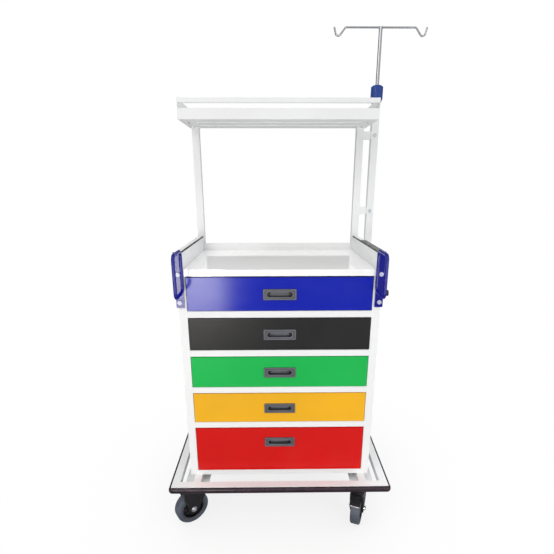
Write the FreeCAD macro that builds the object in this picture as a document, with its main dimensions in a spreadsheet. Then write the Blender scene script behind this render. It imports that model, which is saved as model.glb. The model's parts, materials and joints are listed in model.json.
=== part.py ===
import FreeCAD, Part
import math
import os

import Sketcher
from FreeCAD import Placement, Rotation, Vector

os.makedirs("parts", exist_ok=True)
doc = FreeCAD.newDocument("CrashCart")

# ---------------------------------------------------------------------------
# Driving dimensions, in millimetres and degrees.
# The origin is on the floor under the middle of the cart: +Z is up, -Y is the drawer side.
# ---------------------------------------------------------------------------
DIMENSIONS = {
    # cabinet
    "cabinet_width": 613,
    "cabinet_depth": 420,
    "sheet_wall": 1.5,
    "stile_width": 24.5,
    "frame_depth": 25,
    "frame_fold": 1.5,
    "top_flange": 23.5,
    # drawers
    "shallow_front": 103.5,
    "deep_front": 164,
    "front_gap": 2,
    "cross_rail": 21,
    "bottom_rail": 18,
    "front_depth": 20,
    "front_proud": 2,
    "front_skin": 1.5,
    "tray_half_width": 268,
    "tray_length": 362,
    "tray_wall": 1.2,
    "tray_lift": 4,
    "tray_drop": 10,
    # drawer slides
    "slide_centre": 40,
    "slide_height": 35,
    "slide_thick": 13.5,
    "slide_metal": 2,
    "slide_play": 1,
    "spacer_height": 30,
    "spacer_length": 40,
    # recessed pulls
    "pull_width": 101,
    "pull_height": 34,
    "pull_proud": 2.5,
    "pull_drop": 53,
    "cup_width": 86,
    "cup_height": 24,
    "cup_depth": 14,
    "slot_width": 78,
    "slot_height": 16,
    "slot_depth": 14,
    # base frame and bumper
    "base_width": 726,
    "base_depth": 546,
    "tube_side": 25,
    "tube_wall": 1.5,
    "inner_rail": 280.5,
    "bumper_thick": 9,
    "bumper_height": 20,
    "bumper_corner": 14,
    # casters
    "caster_height": 155,
    "caster_spread": 285,
    "caster_reach": 200,
    "plate_length": 100,
    "plate_width": 80,
    "plate_thick": 4,
    "housing_radius": 24,
    "housing_height": 10,
    "kingpin_radius": 6,
    "crown_top": 140.5,
    "crown_bottom": 131,
    "fork_width": 46,
    "fork_opening": 36,
    "trail": 33,
    "wheel_radius": 57.5,
    "wheel_width": 32,
    "rim_radius": 42,
    "axle_radius": 4,
    "axle_bush": 4.06,
    # worktop, side rails and side handles
    "worktop_half": 287.5,
    "worktop_thick": 18,
    "worktop_skin": 2,
    "worktop_lip": 20,
    "worktop_proud": 5,
    "upstand": 43,
    "rail_width": 24,
    "rail_height": 71,
    "rail_wall": 1.5,
    "cap_height": 3,
    "strip_width": 4,
    "grip_length": 275,
    "handle_plate": 5,
    "handle_low": 785,
    "handle_high": 953,
    "loop_bar": 5,
    "loop_out": 100,
    "loop_low": 838,
    "loop_high": 958,
    "loop_bend": 14,
    "screw_low": 801,
    "screw_high": 887,
    # overhead shelf
    "post_side": 25,
    "post_half": 308,
    "post_wall": 1.5,
    "shelf_half": 318,
    "shelf_depth": 205,
    "shelf_bottom": 1338,
    "shelf_lip": 32,
    "shelf_sheet": 2,
    "guard_bar": 14,
    "guard_top": 62,
    # infusion pole
    "pole_centre": 348.5,
    "pole_tube_low": 795,
    "pole_tube_top": 1415,
    "spigot_radius": 12,
    "spigot_height": 25,
    "collet_radius": 9,
    "collet_bore": 6.06,
    "pole_radius": 6,
    "pole_low": 995,
    "pole_high": 1650,
    "knob_radius": 21,
    "knob_low": 1416,
    "knob_high": 1472,
    "hook_rod": 3,
    "hook_arm": 116,
    "hook_bend": 8,
    "hook_slope": 23.5,
    "hook_bowl": 9,
    "hook_tip": 17,
    # thumb screw beside the right handle
    "thumb_height": 825,
    "thumb_radius": 9,
    "thumb_stud": 4,
    # fits: radial gaps of turning and bolted parts
    "running_fit": 0.06,
    "bolt_fit": 0.05,
}

FRONT_LEFT_SWIVEL = -55
FRONT_RIGHT_SWIVEL = -21
REAR_LEFT_SWIVEL = 205
REAR_RIGHT_SWIVEL = 160

sheet = doc.addObject("Spreadsheet::Sheet", "Sheet")
for row, (alias, number) in enumerate(DIMENSIONS.items(), start=1):
    sheet.set(f"A{row}", alias)
    sheet.set(f"B{row}", str(number))
    sheet.setAlias(f"B{row}", alias)
doc.recompute()


class Size:
    """A number together with the sheet expression that gives it."""

    def __init__(self, value, text=None):
        self.value = value
        self.text = text or f"({value})"

    def _with(self, other, sign, result):
        return Size(result, f"({self.text} {sign} {other.text})")

    def __add__(self, other):
        other = as_size(other)
        return self._with(other, "+", self.value + other.value)

    def __sub__(self, other):
        other = as_size(other)
        return self._with(other, "-", self.value - other.value)

    def __mul__(self, other):
        other = as_size(other)
        return self._with(other, "*", self.value * other.value)

    def __truediv__(self, other):
        other = as_size(other)
        return self._with(other, "/", self.value / other.value)

    def __neg__(self):
        return Size(-self.value, f"(0 - {self.text})")

    __radd__ = __add__
    __rmul__ = __mul__

    def __rsub__(self, other):
        return as_size(other) - self


def as_size(number):
    return number if isinstance(number, Size) else Size(number)


def cell(alias):
    return Size(DIMENSIONS[alias], f"Sheet.{alias}")


# ---------------------------------------------------------------------------
# Building blocks
# ---------------------------------------------------------------------------
nodes = []
AXIS_TURN = {
    "x": Rotation(Vector(0, 1, 0), 90),
    "y": Rotation(Vector(1, 0, 0), -90),
    "z": Rotation(),
}


def bind(item, field, number):
    item.setExpression(field, as_size(number).text)


def put(item, point):
    for axis, number in zip("xyz", point):
        bind(item, f"Placement.Base.{axis}", number)


def box(name, low, high):
    """Box between its lowest and highest corners."""
    item = doc.addObject("Part::Box", name)
    for field, start, end in zip(("Length", "Width", "Height"), low, high):
        bind(item, field, as_size(end) - start)
    put(item, low)
    return item


def side_box(name, side, low, high):
    """Box given for the right side (+X), mirrored to the left when side is -1."""
    if side > 0:
        return box(name, low, high)
    return box(name, (-as_size(high[0]), low[1], low[2]), (-as_size(low[0]), high[1], high[2]))


def rod(name, radius, start, length, axis="z"):
    """Round bar from start, running along +axis."""
    item = doc.addObject("Part::Cylinder", name)
    bind(item, "Radius", radius)
    bind(item, "Height", length)
    item.Placement = Placement(Vector(), AXIS_TURN[axis])
    put(item, start)
    return item


def bend(name, bend_radius, bar_radius, centre, turn, sweep):
    """Part of a torus: a bar bent round centre through sweep degrees."""
    item = doc.addObject("Part::Torus", name)
    bind(item, "Radius1", bend_radius)
    bind(item, "Radius2", bar_radius)
    item.Angle3 = sweep
    item.Placement = Placement(Vector(), turn)
    put(item, centre)
    return item


def fuse(name, items):
    item = doc.addObject("Part::MultiFuse", name)
    item.Shapes = items
    return item


def cut(name, base, tool):
    item = doc.addObject("Part::Cut", name)
    item.Base = base
    item.Tool = tool
    return item


def group(name, items):
    item = doc.addObject("Part::Compound", name)
    item.Links = items
    return item


def node(item, name):
    """Give a finished sub-part its name and list it for export."""
    item.Label = name
    nodes.append(item)
    return item


def new_body(name):
    return doc.addObject("PartDesign::Body", name)


def origin_feature(body, role):
    return next(item for item in body.Origin.OriginFeatures if item.Role == role)


def new_sketch(body, role, name, lift=0):
    """Sketch on one of the body's own origin planes, lifted along its normal."""
    sketch = body.newObject("Sketcher::SketchObject", name)
    sketch.AttachmentSupport = [(origin_feature(body, role), "")]
    sketch.MapMode = "FlatFace"
    bind(sketch, "AttachmentOffset.Base.z", lift)
    return sketch


def hold_point(sketch, edge, end, point):
    """Fix a point of the sketch at a place bound to the sheet."""
    for kind, axis, number in (("DistanceX", -2, point[0]), ("DistanceY", -1, point[1])):
        number = as_size(number)
        if number.value == 0:
            sketch.addConstraint(Sketcher.Constraint("PointOnObject", edge, end, axis))
            continue
        index = sketch.addConstraint(Sketcher.Constraint(kind, -1, 1, edge, end, number.value))
        bind(sketch, f"Constraints[{index}]", number)


def outline(sketch, points):
    """Closed outline of straight lines through the given points."""
    spots = [Vector(as_size(along).value, as_size(across).value, 0) for along, across in points]
    first = sketch.GeometryCount
    count = len(spots)
    for index in range(count):
        sketch.addGeometry(Part.LineSegment(spots[index], spots[(index + 1) % count]), False)
    for index in range(count):
        following = first + (index + 1) % count
        sketch.addConstraint(Sketcher.Constraint("Coincident", first + index, 2, following, 1))
    for index, point in enumerate(points):
        hold_point(sketch, first + index, 1, point)


def rectangle(sketch, half_wide, half_high, rise=0):
    """Rectangle centred on the vertical axis, with its middle at rise."""
    low = as_size(rise) - half_high
    high = as_size(rise) + half_high
    outline(sketch, [(-half_wide, low), (half_wide, low), (half_wide, high), (-half_wide, high)])


def circle(sketch, radius, centre=(0, 0)):
    spot = Vector(as_size(centre[0]).value, as_size(centre[1]).value, 0)
    edge = sketch.addGeometry(Part.Circle(spot, Vector(0, 0, 1), as_size(radius).value), False)
    if as_size(centre[0]).value == 0 and as_size(centre[1]).value == 0:
        sketch.addConstraint(Sketcher.Constraint("Coincident", edge, 3, -1, 1))
    else:
        hold_point(sketch, edge, 3, centre)
    index = sketch.addConstraint(Sketcher.Constraint("Radius", edge, as_size(radius).value))
    bind(sketch, f"Constraints[{index}]", radius)


def pad(body, sketch, length, name, middle=False, backwards=False):
    feature = body.newObject("PartDesign::Pad", name)
    feature.Profile = sketch
    bind(feature, "Length", length)
    feature.Midplane = middle
    feature.Reversed = backwards
    doc.recompute()
    return feature


def pocket(body, sketch, length, name, middle=False, backwards=False):
    """Pocket that must take material away."""
    before = body.Shape.Volume
    feature = body.newObject("PartDesign::Pocket", name)
    feature.Profile = sketch
    bind(feature, "Length", length)
    feature.Midplane = middle
    feature.Reversed = backwards
    doc.recompute()
    if body.Shape.Volume >= before - 1e-3:
        raise RuntimeError(f"{name} removes nothing")
    return feature


def turned(body, sketch, name, axis):
    """Solid of revolution about an axis of its own sketch."""
    feature = body.newObject("PartDesign::Revolution", name)
    feature.Profile = sketch
    feature.ReferenceAxis = (sketch, [axis])
    feature.Angle = 360
    doc.recompute()
    return feature


def round_edges(body, feature, name, radius, wanted):
    """Fillet each edge of the feature whose middle point and direction pass the test."""
    names = []
    for index, edge in enumerate(feature.Shape.Edges, start=1):
        middle = edge.valueAt((edge.FirstParameter + edge.LastParameter) / 2)
        along = edge.tangentAt((edge.FirstParameter + edge.LastParameter) / 2)
        if wanted(middle, along):
            names.append(f"Edge{index}")
    fillet = body.newObject("PartDesign::Fillet", name)
    fillet.Base = (feature, names)
    bind(fillet, "Radius", radius)
    doc.recompute()
    return fillet


# ---------------------------------------------------------------------------
# Places worked out from the driving dimensions
# ---------------------------------------------------------------------------
wide = cell("cabinet_width") / 2
front = -cell("cabinet_depth") / 2
back = cell("cabinet_depth") / 2
sheet_wall = cell("sheet_wall")
tube = cell("tube_side")
base_low = cell("caster_height")
base_top = base_low + tube
opening = wide - cell("stile_width")
gap = cell("front_gap")
between_fronts = cell("cross_rail") + gap * 2
first_front = base_top + cell("bottom_rail") + gap
DRAWERS = 5


def front_low(number):
    """Height of a drawer front's lower edge; drawer 1 is the top one."""
    if number == DRAWERS:
        return first_front
    stacked = cell("shallow_front") + between_fronts
    return first_front + cell("deep_front") + between_fronts + stacked * (DRAWERS - 1 - number)


def front_height(number):
    return cell("deep_front") if number == DRAWERS else cell("shallow_front")


frame_top = front_low(1) + front_height(1) + gap * 2
work_level = frame_top + cell("worktop_thick")
rail_overhang = 5.5
rail_in = wide + rail_overhang - cell("rail_width")
rail_out = rail_in + cell("rail_width")
rail_top = frame_top + cell("rail_height")
post_in = cell("post_half") - cell("post_side")
post_front = back - cell("post_side")


# ---------------------------------------------------------------------------
# Base: tube frame, bumper and caster plates
# ---------------------------------------------------------------------------
def base_tubes(name, shrink, overrun):
    """The frame's six tubes, made smaller by shrink on every face."""
    half_w = cell("base_width") / 2
    half_d = cell("base_depth") / 2
    low = base_low + shrink
    high = base_top - shrink
    tubes = []
    for tag, start in (("Front", -half_d), ("Rear", half_d - tube)):
        tubes.append(box(
            f"{name}{tag}",
            (-half_w - overrun, start + shrink, low),
            (half_w + overrun, start + tube - shrink, high),
        ))
    inner_start = cell("inner_rail") - tube / 2
    for side, word in ((-1, "Left"), (1, "Right")):
        for tag, start in (("Side", half_w - tube), ("Inner", inner_start)):
            tubes.append(side_box(
                f"{name}{tag}{word}", side,
                (start + shrink, -half_d + shrink, low),
                (start + tube - shrink, half_d - shrink, high),
            ))
    return fuse(name, tubes)


def make_base_frame():
    outside = base_tubes("FrameOutside", as_size(0), as_size(0))
    inside = base_tubes("FrameInside", cell("tube_wall"), as_size(1))
    node(cut("BaseFrame", outside, inside), "base_frame")


def make_bumper():
    """Soft strip all round the base frame, with a round outer face."""
    body = new_body("Bumper")
    thick = cell("bumper_thick")
    half_w = cell("base_width") / 2
    half_d = cell("base_depth") / 2
    low = base_low + (tube - cell("bumper_height")) / 2
    outer = new_sketch(body, "XY_Plane", "BumperOuter", low)
    rectangle(outer, half_w + thick, half_d + thick)
    strip = pad(body, outer, cell("bumper_height"), "BumperPad")
    cornered = round_edges(
        body, strip, "BumperCorners", cell("bumper_corner"), lambda middle, along: abs(along.z) > 0.9)
    round_edges(body, cornered, "BumperFace", thick - 1, lambda middle, along: abs(along.z) < 0.1)
    hole = new_sketch(body, "XY_Plane", "BumperInner", low)
    rectangle(hole, half_w, half_d)
    pocket(body, hole, cell("bumper_height") * 2, "BumperHole", middle=True)
    node(body, "bumper_strip")


CASTERS = {
    "front_left": (-1, -1, FRONT_LEFT_SWIVEL),
    "front_right": (1, -1, FRONT_RIGHT_SWIVEL),
    "rear_left": (-1, 1, REAR_LEFT_SWIVEL),
    "rear_right": (1, 1, REAR_RIGHT_SWIVEL),
}
BRAKED = ("front_right", "rear_left")


def caster_plate(name, side, end):
    """Mounting plate with the swivel housing, the kingpin and its nut, all riveted together."""
    across = cell("caster_spread") * side
    along = cell("caster_reach") * end
    half_wide = cell("plate_width") / 2
    half_long = cell("plate_length") / 2
    under = base_low - cell("plate_thick")
    housing_low = under - cell("housing_height")
    nut_gap = 0.4
    nut_thick = 6
    nut_rim = 3
    nut_high = cell("crown_bottom") - nut_gap
    nut_low = nut_high - nut_thick
    pin = cell("kingpin_radius")
    plate = box(
        f"{name}Plate",
        (across - half_wide, along - half_long, under),
        (across + half_wide, along + half_long, base_low),
    )
    housing = rod(
        f"{name}Housing", cell("housing_radius"), (across, along, housing_low), cell("housing_height"))
    kingpin = rod(f"{name}Kingpin", pin, (across, along, nut_low), under - nut_low)
    nut = rod(f"{name}Nut", pin + nut_rim, (across, along, nut_low), nut_high - nut_low)
    return fuse(f"{name}Mount", [plate, housing, kingpin, nut])


def make_caster_plates():
    mounts = [caster_plate(f"Caster{place}", side, end) for place, (side, end, _) in CASTERS.items()]
    node(group("CasterPlates", mounts), "caster_plates")


# ---------------------------------------------------------------------------
# Casters, each modelled about its own swivel axis with the wheel trailing to -Y
# ---------------------------------------------------------------------------
def caster_placement(place):
    side, end, swivel = CASTERS[place]
    spot = Vector(side * DIMENSIONS["caster_spread"], end * DIMENSIONS["caster_reach"], 0)
    return Placement(spot, Rotation(Vector(0, 0, 1), swivel))


def wheel_placement(place):
    offset = Vector(0, -DIMENSIONS["trail"], DIMENSIONS["wheel_radius"])
    return caster_placement(place) * Placement(offset, Rotation())


def make_fork(place):
    body = new_body(f"Fork_{place}")
    trail = cell("trail")
    axle = cell("wheel_radius")
    top = cell("crown_top")
    heel = 26
    skirt = 14
    foot = 14
    side_view = new_sketch(body, "YZ_Plane", f"ForkSide_{place}")
    outline(side_view, [
        (heel, top), (-trail - 17, top), (-trail - 31, top - skirt), (-trail - 33, top - 26),
        (-trail - foot, axle - foot), (-trail + foot, axle - foot), (heel, top - skirt),
    ])
    blank = pad(body, side_view, cell("fork_width"), f"ForkBlank_{place}", middle=True)
    round_edges(
        body, blank, f"ForkEnds_{place}", foot - 2,
        lambda middle, along: abs(along.x) > 0.9 and middle.z < DIMENSIONS["wheel_radius"])
    mouth = new_sketch(body, "YZ_Plane", f"ForkMouth_{place}")
    below = cell("crown_bottom")
    ahead = 60
    behind = -120
    under = 20
    outline(mouth, [(ahead, below), (behind, below), (behind, under), (ahead, under)])
    pocket(body, mouth, cell("fork_opening"), f"ForkOpening_{place}", middle=True)
    bore = new_sketch(body, "YZ_Plane", f"ForkBore_{place}")
    circle(bore, cell("axle_radius"), (-trail, axle))
    pocket(body, bore, cell("fork_width") * 2, f"ForkAxleHole_{place}", middle=True)
    swivel = new_sketch(body, "XY_Plane", f"ForkSwivel_{place}", cell("crown_top"))
    circle(swivel, cell("kingpin_radius") + cell("running_fit"))
    pocket(body, swivel, 40, f"ForkSwivelHole_{place}", middle=True)
    body.Placement = caster_placement(place)
    node(body, f"{place}_fork")


def make_axle(place):
    """Axle bolt with a domed head and a nut, gripping the fork's two arms."""
    half = cell("fork_width") / 2
    thick = 4
    head_rim = 3.5
    nut_rim = 3
    shank = rod(f"Shank_{place}", cell("axle_radius"), (-half - thick, 0, 0), half * 2 + thick * 2, "x")
    head = rod(f"Head_{place}", cell("axle_radius") + head_rim, (half, 0, 0), thick, "x")
    nut = rod(f"AxleNut_{place}", cell("axle_radius") + nut_rim, (-half - thick, 0, 0), thick, "x")
    bolt = fuse(f"Axle_{place}", [shank, head, nut])
    bolt.Placement = wheel_placement(place)
    node(bolt, f"{place}_axle")


def make_hub(place):
    """Moulded hub: bearing boss, dished web and rim."""
    body = new_body(f"Hub_{place}")
    bore = cell("axle_bush")
    half = cell("wheel_width") / 2 - 1
    boss = half + 2
    boss_radius = 12
    boss_foot = 14
    web = 6
    section = new_sketch(body, "XZ_Plane", f"HubSection_{place}")
    rim = cell("rim_radius")
    dish = rim - 8
    bead = rim - 6
    outline(section, [
        (-boss, bore), (boss, bore), (boss, boss_radius), (web, boss_foot), (web, dish), (half, bead),
        (half, rim), (-half, rim), (-half, bead), (-web, dish), (-web, boss_foot), (-boss, boss_radius),
    ])
    turned(body, section, f"HubTurned_{place}", "H_Axis")
    body.Placement = wheel_placement(place)
    node(body, f"{place}_hub")


def make_tyre(place):
    """Tyre with a flat tread and small shoulder steps."""
    body = new_body(f"Tyre_{place}")
    half = cell("wheel_width") / 2
    inner = cell("rim_radius")
    outer = cell("wheel_radius")
    step = 1.4
    shoulder = 4
    section = new_sketch(body, "XZ_Plane", f"TyreSection_{place}")
    outline(section, [
        (-half + 1, inner), (half - 1, inner), (half, inner + step), (half, outer - shoulder),
        (half - step, outer - step), (half - shoulder, outer), (-half + shoulder, outer),
        (-half + step, outer - step), (-half, outer - shoulder), (-half, inner + step),
    ])
    turned(body, section, f"TyreTurned_{place}", "H_Axis")
    body.Placement = wheel_placement(place)
    node(body, f"{place}_tyre")


def make_pedal(place):
    """Brake pedal: a pivot barrel between the fork's arms and a foot plate beyond the wheel."""
    trail = cell("trail")
    width = cell("fork_opening") - 2
    pivot_y = -trail - 24
    pivot_z = cell("crown_top") - 15
    heel = pivot_y + 5
    knee = pivot_y - 6
    toe = pivot_y - 46
    body = new_body(f"Pedal_{place}")
    section = new_sketch(body, "YZ_Plane", f"PedalSide_{place}")
    outline(section, [
        (heel, pivot_z + 4), (knee, pivot_z + 5), (toe, pivot_z - 9),
        (toe, pivot_z - 14), (knee, pivot_z - 2), (heel, pivot_z - 3),
    ])
    pad(body, section, width, f"PedalPad_{place}", middle=True)
    body.Placement = caster_placement(place)
    node(body, f"{place}_brake_pedal")


# ---------------------------------------------------------------------------
# Cabinet
# ---------------------------------------------------------------------------
def make_cabinet_shell():
    """Sides, back, floor and top flanges, folded and welded from sheet."""
    rear_of_frame = front + cell("frame_depth")
    block = box("ShellBlock", (-wide, rear_of_frame, base_top), (wide, back, frame_top))
    hollow = box(
        "ShellHollow",
        (-wide + sheet_wall, rear_of_frame - 1, base_top + sheet_wall),
        (wide - sheet_wall, back - sheet_wall, frame_top - sheet_wall),
    )
    inside_flange = wide - cell("top_flange")
    top_hole = box(
        "ShellTopHole",
        (-inside_flange, rear_of_frame - 1, frame_top - sheet_wall * 2),
        (inside_flange, back - sheet_wall, frame_top + 1),
    )
    node(cut("CabinetShell", block, fuse("ShellSpace", [hollow, top_hole])), "cabinet_shell")


def frame_bar(name, side, low, high):
    """Folded channel, open at the rear: its outer box and the space inside it."""
    fold = cell("frame_fold")
    bar = side_box(name, side, low, high)
    space = side_box(
        f"{name}Space", side,
        (low[0] + fold, low[1] + fold, low[2] + fold), (high[0] - fold, high[1] + 1, high[2] - fold))
    return bar, space


def make_face_frame():
    """Two stiles and five cross rails, welded, with the holes for the handle screws and thumb screw."""
    depth = front + cell("frame_depth")
    members = [
        frame_bar(f"Stile{side}", side, (opening, front, base_top), (wide, depth, frame_top))
        for side in (-1, 1)
    ]
    for number in range(1, DRAWERS + 1):
        high = front_low(number) - gap
        low = high - cell("cross_rail") if number < DRAWERS else base_top
        members.append(frame_bar(f"CrossRail{number}", 1, (-opening, front, low), (opening, depth - 5, high)))
    holes = [space for _, space in members]
    for side in (-1, 1):
        spot = (screw_across * side, front - 1, cell("screw_low"))
        holes.append(rod(f"StileScrewHole{side}", screw_radius + cell("bolt_fit"), spot, 16, "y"))
    thumb_y = front + cell("frame_depth") / 2
    thumb_spot = (wide - 18, thumb_y, cell("thumb_height"))
    holes.append(rod("ThumbHole", cell("thumb_stud") + cell("running_fit"), thumb_spot, 30, "x"))
    bars = fuse("FrameBars", [bar for bar, _ in members])
    node(cut("FaceFrame", bars, fuse("FrameHoles", holes)), "face_frame")


def fixed_slide(number, side):
    """Outer slide member, a channel open to the drawer, on two spacers from the cabinet side."""
    name = f"Fixed{number}{'R' if side > 0 else 'L'}"
    middle = front_low(number) + cell("slide_centre")
    half = cell("slide_height") / 2
    metal = cell("slide_metal")
    inner = cell("tray_half_width") + cell("slide_play") / 2
    web_out = inner + cell("slide_thick") + cell("slide_play")
    start = front + cell("frame_depth") + 1
    stop = start + cell("tray_length") + 5
    channel = side_box(f"{name}Channel", side, (inner, start, middle - half), (web_out, stop, middle + half))
    mouth = side_box(
        f"{name}Mouth", side,
        (inner - 1, start - 1, middle - half + metal), (web_out - metal, stop + 1, middle + half - metal))
    parts = [cut(f"{name}Rail", channel, mouth)]
    half_spacer = cell("spacer_height") / 2
    for tag, spot in (("Near", start + 10), ("Far", stop - 50)):
        parts.append(side_box(
            f"{name}Spacer{tag}", side,
            (web_out - metal / 2, spot, middle - half_spacer),
            (wide - sheet_wall, spot + cell("spacer_length"), middle + half_spacer),
        ))
    return fuse(name, parts)


def make_cabinet_runners():
    members = [fixed_slide(number, side) for number in range(1, DRAWERS + 1) for side in (-1, 1)]
    node(group("CabinetRunners", members), "cabinet_runners")


# ---------------------------------------------------------------------------
# Drawers
# ---------------------------------------------------------------------------
def make_drawer_front(number):
    """Folded pan with a window for the recessed pull."""
    low = front_low(number)
    high = low + front_height(number)
    half = opening - gap
    face = front - cell("front_proud")
    rear = face + cell("front_depth")
    skin = cell("front_skin")
    pan = box(f"Pan{number}", (-half, face, low), (half, rear, high))
    space = box(
        f"PanSpace{number}", (-half + skin, face + skin, low + skin), (half - skin, rear + 1, high - skin))
    centre = high - cell("pull_drop")
    clear = 0.2
    window = box(
        f"PanWindow{number}",
        (-cell("cup_width") / 2 - clear, face - 1, centre - cell("cup_height") / 2 - clear),
        (cell("cup_width") / 2 + clear, rear, centre + cell("cup_height") / 2 + clear),
    )
    opened = fuse(f"PanOpen{number}", [space, window])
    node(cut(f"DrawerFront{number}", pan, opened), f"drawer_{number}_front")


def make_drawer_tray(number):
    """Open box of sheet metal fixed to the back of the front."""
    low = front_low(number) + cell("tray_lift")
    high = front_low(number) + front_height(number) - cell("tray_drop")
    half = cell("tray_half_width")
    wall = cell("tray_wall")
    start = front - cell("front_proud") + cell("front_depth")
    stop = start + cell("tray_length")
    outside = box(f"TrayOutside{number}", (-half, start, low), (half, stop, high))
    inside = box(
        f"TrayInside{number}", (-half + wall, start + wall, low + wall), (half - wall, stop - wall, high + 1))
    node(cut(f"DrawerTray{number}", outside, inside), f"drawer_{number}_tray")


def make_drawer_slides(number):
    """Inner slide members, a channel on each side of the tray."""
    middle = front_low(number) + cell("slide_centre")
    half = cell("slide_height") / 2 - cell("slide_metal") - cell("slide_play")
    inner = cell("tray_half_width")
    outer = inner + cell("slide_thick") - cell("slide_metal") + cell("slide_play") / 2
    start = front - cell("front_proud") + cell("front_depth") + 2
    stop = start + cell("tray_length")
    metal = cell("slide_metal") * 0.75
    members = []
    for side in (-1, 1):
        name = f"Moving{number}{'R' if side > 0 else 'L'}"
        bar = side_box(f"{name}Bar", side, (inner, start, middle - half), (outer, stop, middle + half))
        groove = side_box(
            f"{name}Groove", side,
            (inner - 1, start - 1, middle - half + metal), (outer - metal, stop + 1, middle + half - metal))
        members.append(cut(name, bar, groove))
    node(group(f"DrawerSlides{number}", members), f"drawer_{number}_slides")


def make_pull(number):
    """Recessed pull: flange on the face of the front and a finger cup behind it."""
    body = new_body(f"Pull{number}")
    centre = front_low(number) + front_height(number) - cell("pull_drop")
    face = front - cell("front_proud")
    flange = new_sketch(body, "XZ_Plane", f"PullFlange{number}", -face)
    rectangle(flange, cell("pull_width") / 2, cell("pull_height") / 2, centre)
    plate = pad(body, flange, cell("pull_proud"), f"PullPlate{number}")
    round_edges(body, plate, f"PullCorners{number}", 3, lambda middle, along: abs(along.y) > 0.9)
    cup = new_sketch(body, "XZ_Plane", f"PullCup{number}", -face)
    rectangle(cup, cell("cup_width") / 2, cell("cup_height") / 2, centre)
    pad(body, cup, cell("cup_depth") + 2, f"PullCupPad{number}", backwards=True)
    slot = new_sketch(body, "XZ_Plane", f"PullSlot{number}", cell("pull_proud") - face)
    half_high = cell("slot_height") / 2
    rectangle(slot, cell("slot_width") / 2 - half_high, half_high, centre)
    pocket(body, slot, cell("slot_depth") + cell("pull_proud"), f"PullSlotPocket{number}")
    for side in (-1, 1):
        tag = f"{number}{'R' if side > 0 else 'L'}"
        end = new_sketch(body, "XZ_Plane", f"PullEnd{tag}", cell("pull_proud") - face)
        circle(end, half_high, ((cell("slot_width") / 2 - half_high) * side, centre))
        pocket(body, end, cell("slot_depth") + cell("pull_proud"), f"PullEndPocket{tag}")
    node(body, f"drawer_{number}_pull")


# ---------------------------------------------------------------------------
# Worktop, side rails and side handles
# ---------------------------------------------------------------------------
SCREW_LEVELS = ("screw_low", "screw_high")
screw_radius = as_size(2.95)
screw_inset = 13
screw_across = rail_in + screw_inset


def make_worktop():
    """Folded tray top: skin, down-turned flanges, a front lip and a rear upstand between the posts."""
    half = cell("worktop_half")
    skin = cell("worktop_skin")
    nose = front - cell("worktop_proud")
    slab = box("TopSlab", (-half, nose, frame_top), (half, back, work_level))
    lip_high = frame_top + cell("worktop_lip")
    lip = box("TopLip", (-half, nose, work_level - skin), (half, nose + skin, lip_high))
    rear = box(
        "TopUpstand",
        (-post_in, back - cell("post_side") / 2, work_level - skin),
        (post_in, back - cell("post_side") / 2 + skin, frame_top + cell("upstand")),
    )
    solid = fuse("TopSolid", [slab, lip, rear])
    under = box(
        "TopUnder", (-half + skin, nose + skin, frame_top - 1), (half - skin, back - skin, work_level - skin))
    clear = 0.5
    notches = [
        side_box(
            f"TopNotch{side}", side,
            (post_in - clear, post_front - clear, frame_top - 1), (half + 1, back + 1, work_level + 1))
        for side in (-1, 1)
    ]
    node(cut("Worktop", solid, fuse("TopSpace", [under] + notches)), "worktop")


def make_side_rail(word, side):
    """Box-section cheek from the handle plate back to the rear post, open at its front end."""
    wall = cell("rail_wall")
    high = rail_top - cell("cap_height")
    outside = side_box(f"Cheek{word}", side, (rail_in, front, frame_top), (rail_out, post_front, high))
    inside = side_box(
        f"CheekSpace{word}", side,
        (rail_in + wall, front - 1, frame_top + wall), (rail_out - wall, post_front - wall, high - wall))
    node(cut(f"SideRail{word}", outside, inside), f"side_rail_{word.lower()}")


def edge_strip(word, side):
    """Dark trim along the inner top edge of a side rail."""
    return side_box(
        f"Strip{word}", side,
        (rail_in - 0.8, front, rail_top - cell("cap_height")),
        (rail_in + cell("strip_width"), post_front, rail_top))


def ribbed_grip():
    """Ribbed strip on the forward part of the right side rail."""
    low = rail_top - cell("cap_height")
    start = rail_in + cell("strip_width") + 0.5
    stop = front + cell("grip_length")
    ribs = 4
    pitch = (rail_out - start) / ribs
    parts = [box("Grip", (start, front, low), (rail_out, stop, rail_top - 1))]
    for rib in range(ribs):
        edge = start + pitch * rib + pitch / 4
        parts.append(box(f"GripRib{rib}", (edge, front, low), (edge + pitch / 2, stop, rail_top)))
    return fuse("RibbedGrip", parts)


def make_rail_caps():
    node(group("RailCaps", [edge_strip("Left", -1), edge_strip("Right", 1), ribbed_grip()]), "rail_caps")


def handle_loop(word, side):
    """Closed ring of round bar standing forward of the handle plate, in a fore-and-aft plane."""
    bar = cell("loop_bar")
    turn = cell("loop_bend")
    across = (rail_in + 1) * side
    near = front - cell("handle_plate") - bar
    far = near - cell("loop_out") + bar * 2
    low = cell("loop_low")
    high = cell("loop_high")
    flat = far + turn
    parts = [
        rod(f"Loop{word}Back", bar, (across, near, low + turn), high - low - turn * 2),
        rod(f"Loop{word}Grip", bar, (across, far, low + turn), high - low - turn * 2),
        rod(f"Loop{word}Top", bar, (across, flat, high), near - far - turn * 2, "y"),
        rod(f"Loop{word}Bottom", bar, (across, flat, low), near - far - turn * 2, "y"),
    ]
    corners = (
        (near - turn, high - turn, 0), (far + turn, high - turn, 90),
        (far + turn, low + turn, 180), (near - turn, low + turn, 270),
    )
    upright = Rotation(Vector(0, 1, 0), 90) * Rotation(Vector(0, 0, 1), 90)
    for along, up, spin in corners:
        turned_by = Rotation(Vector(1, 0, 0), spin) * upright
        parts.append(bend(f"Loop{word}Bend{spin}", turn, bar, (across, along, up), turned_by, 90))
    return parts


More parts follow.
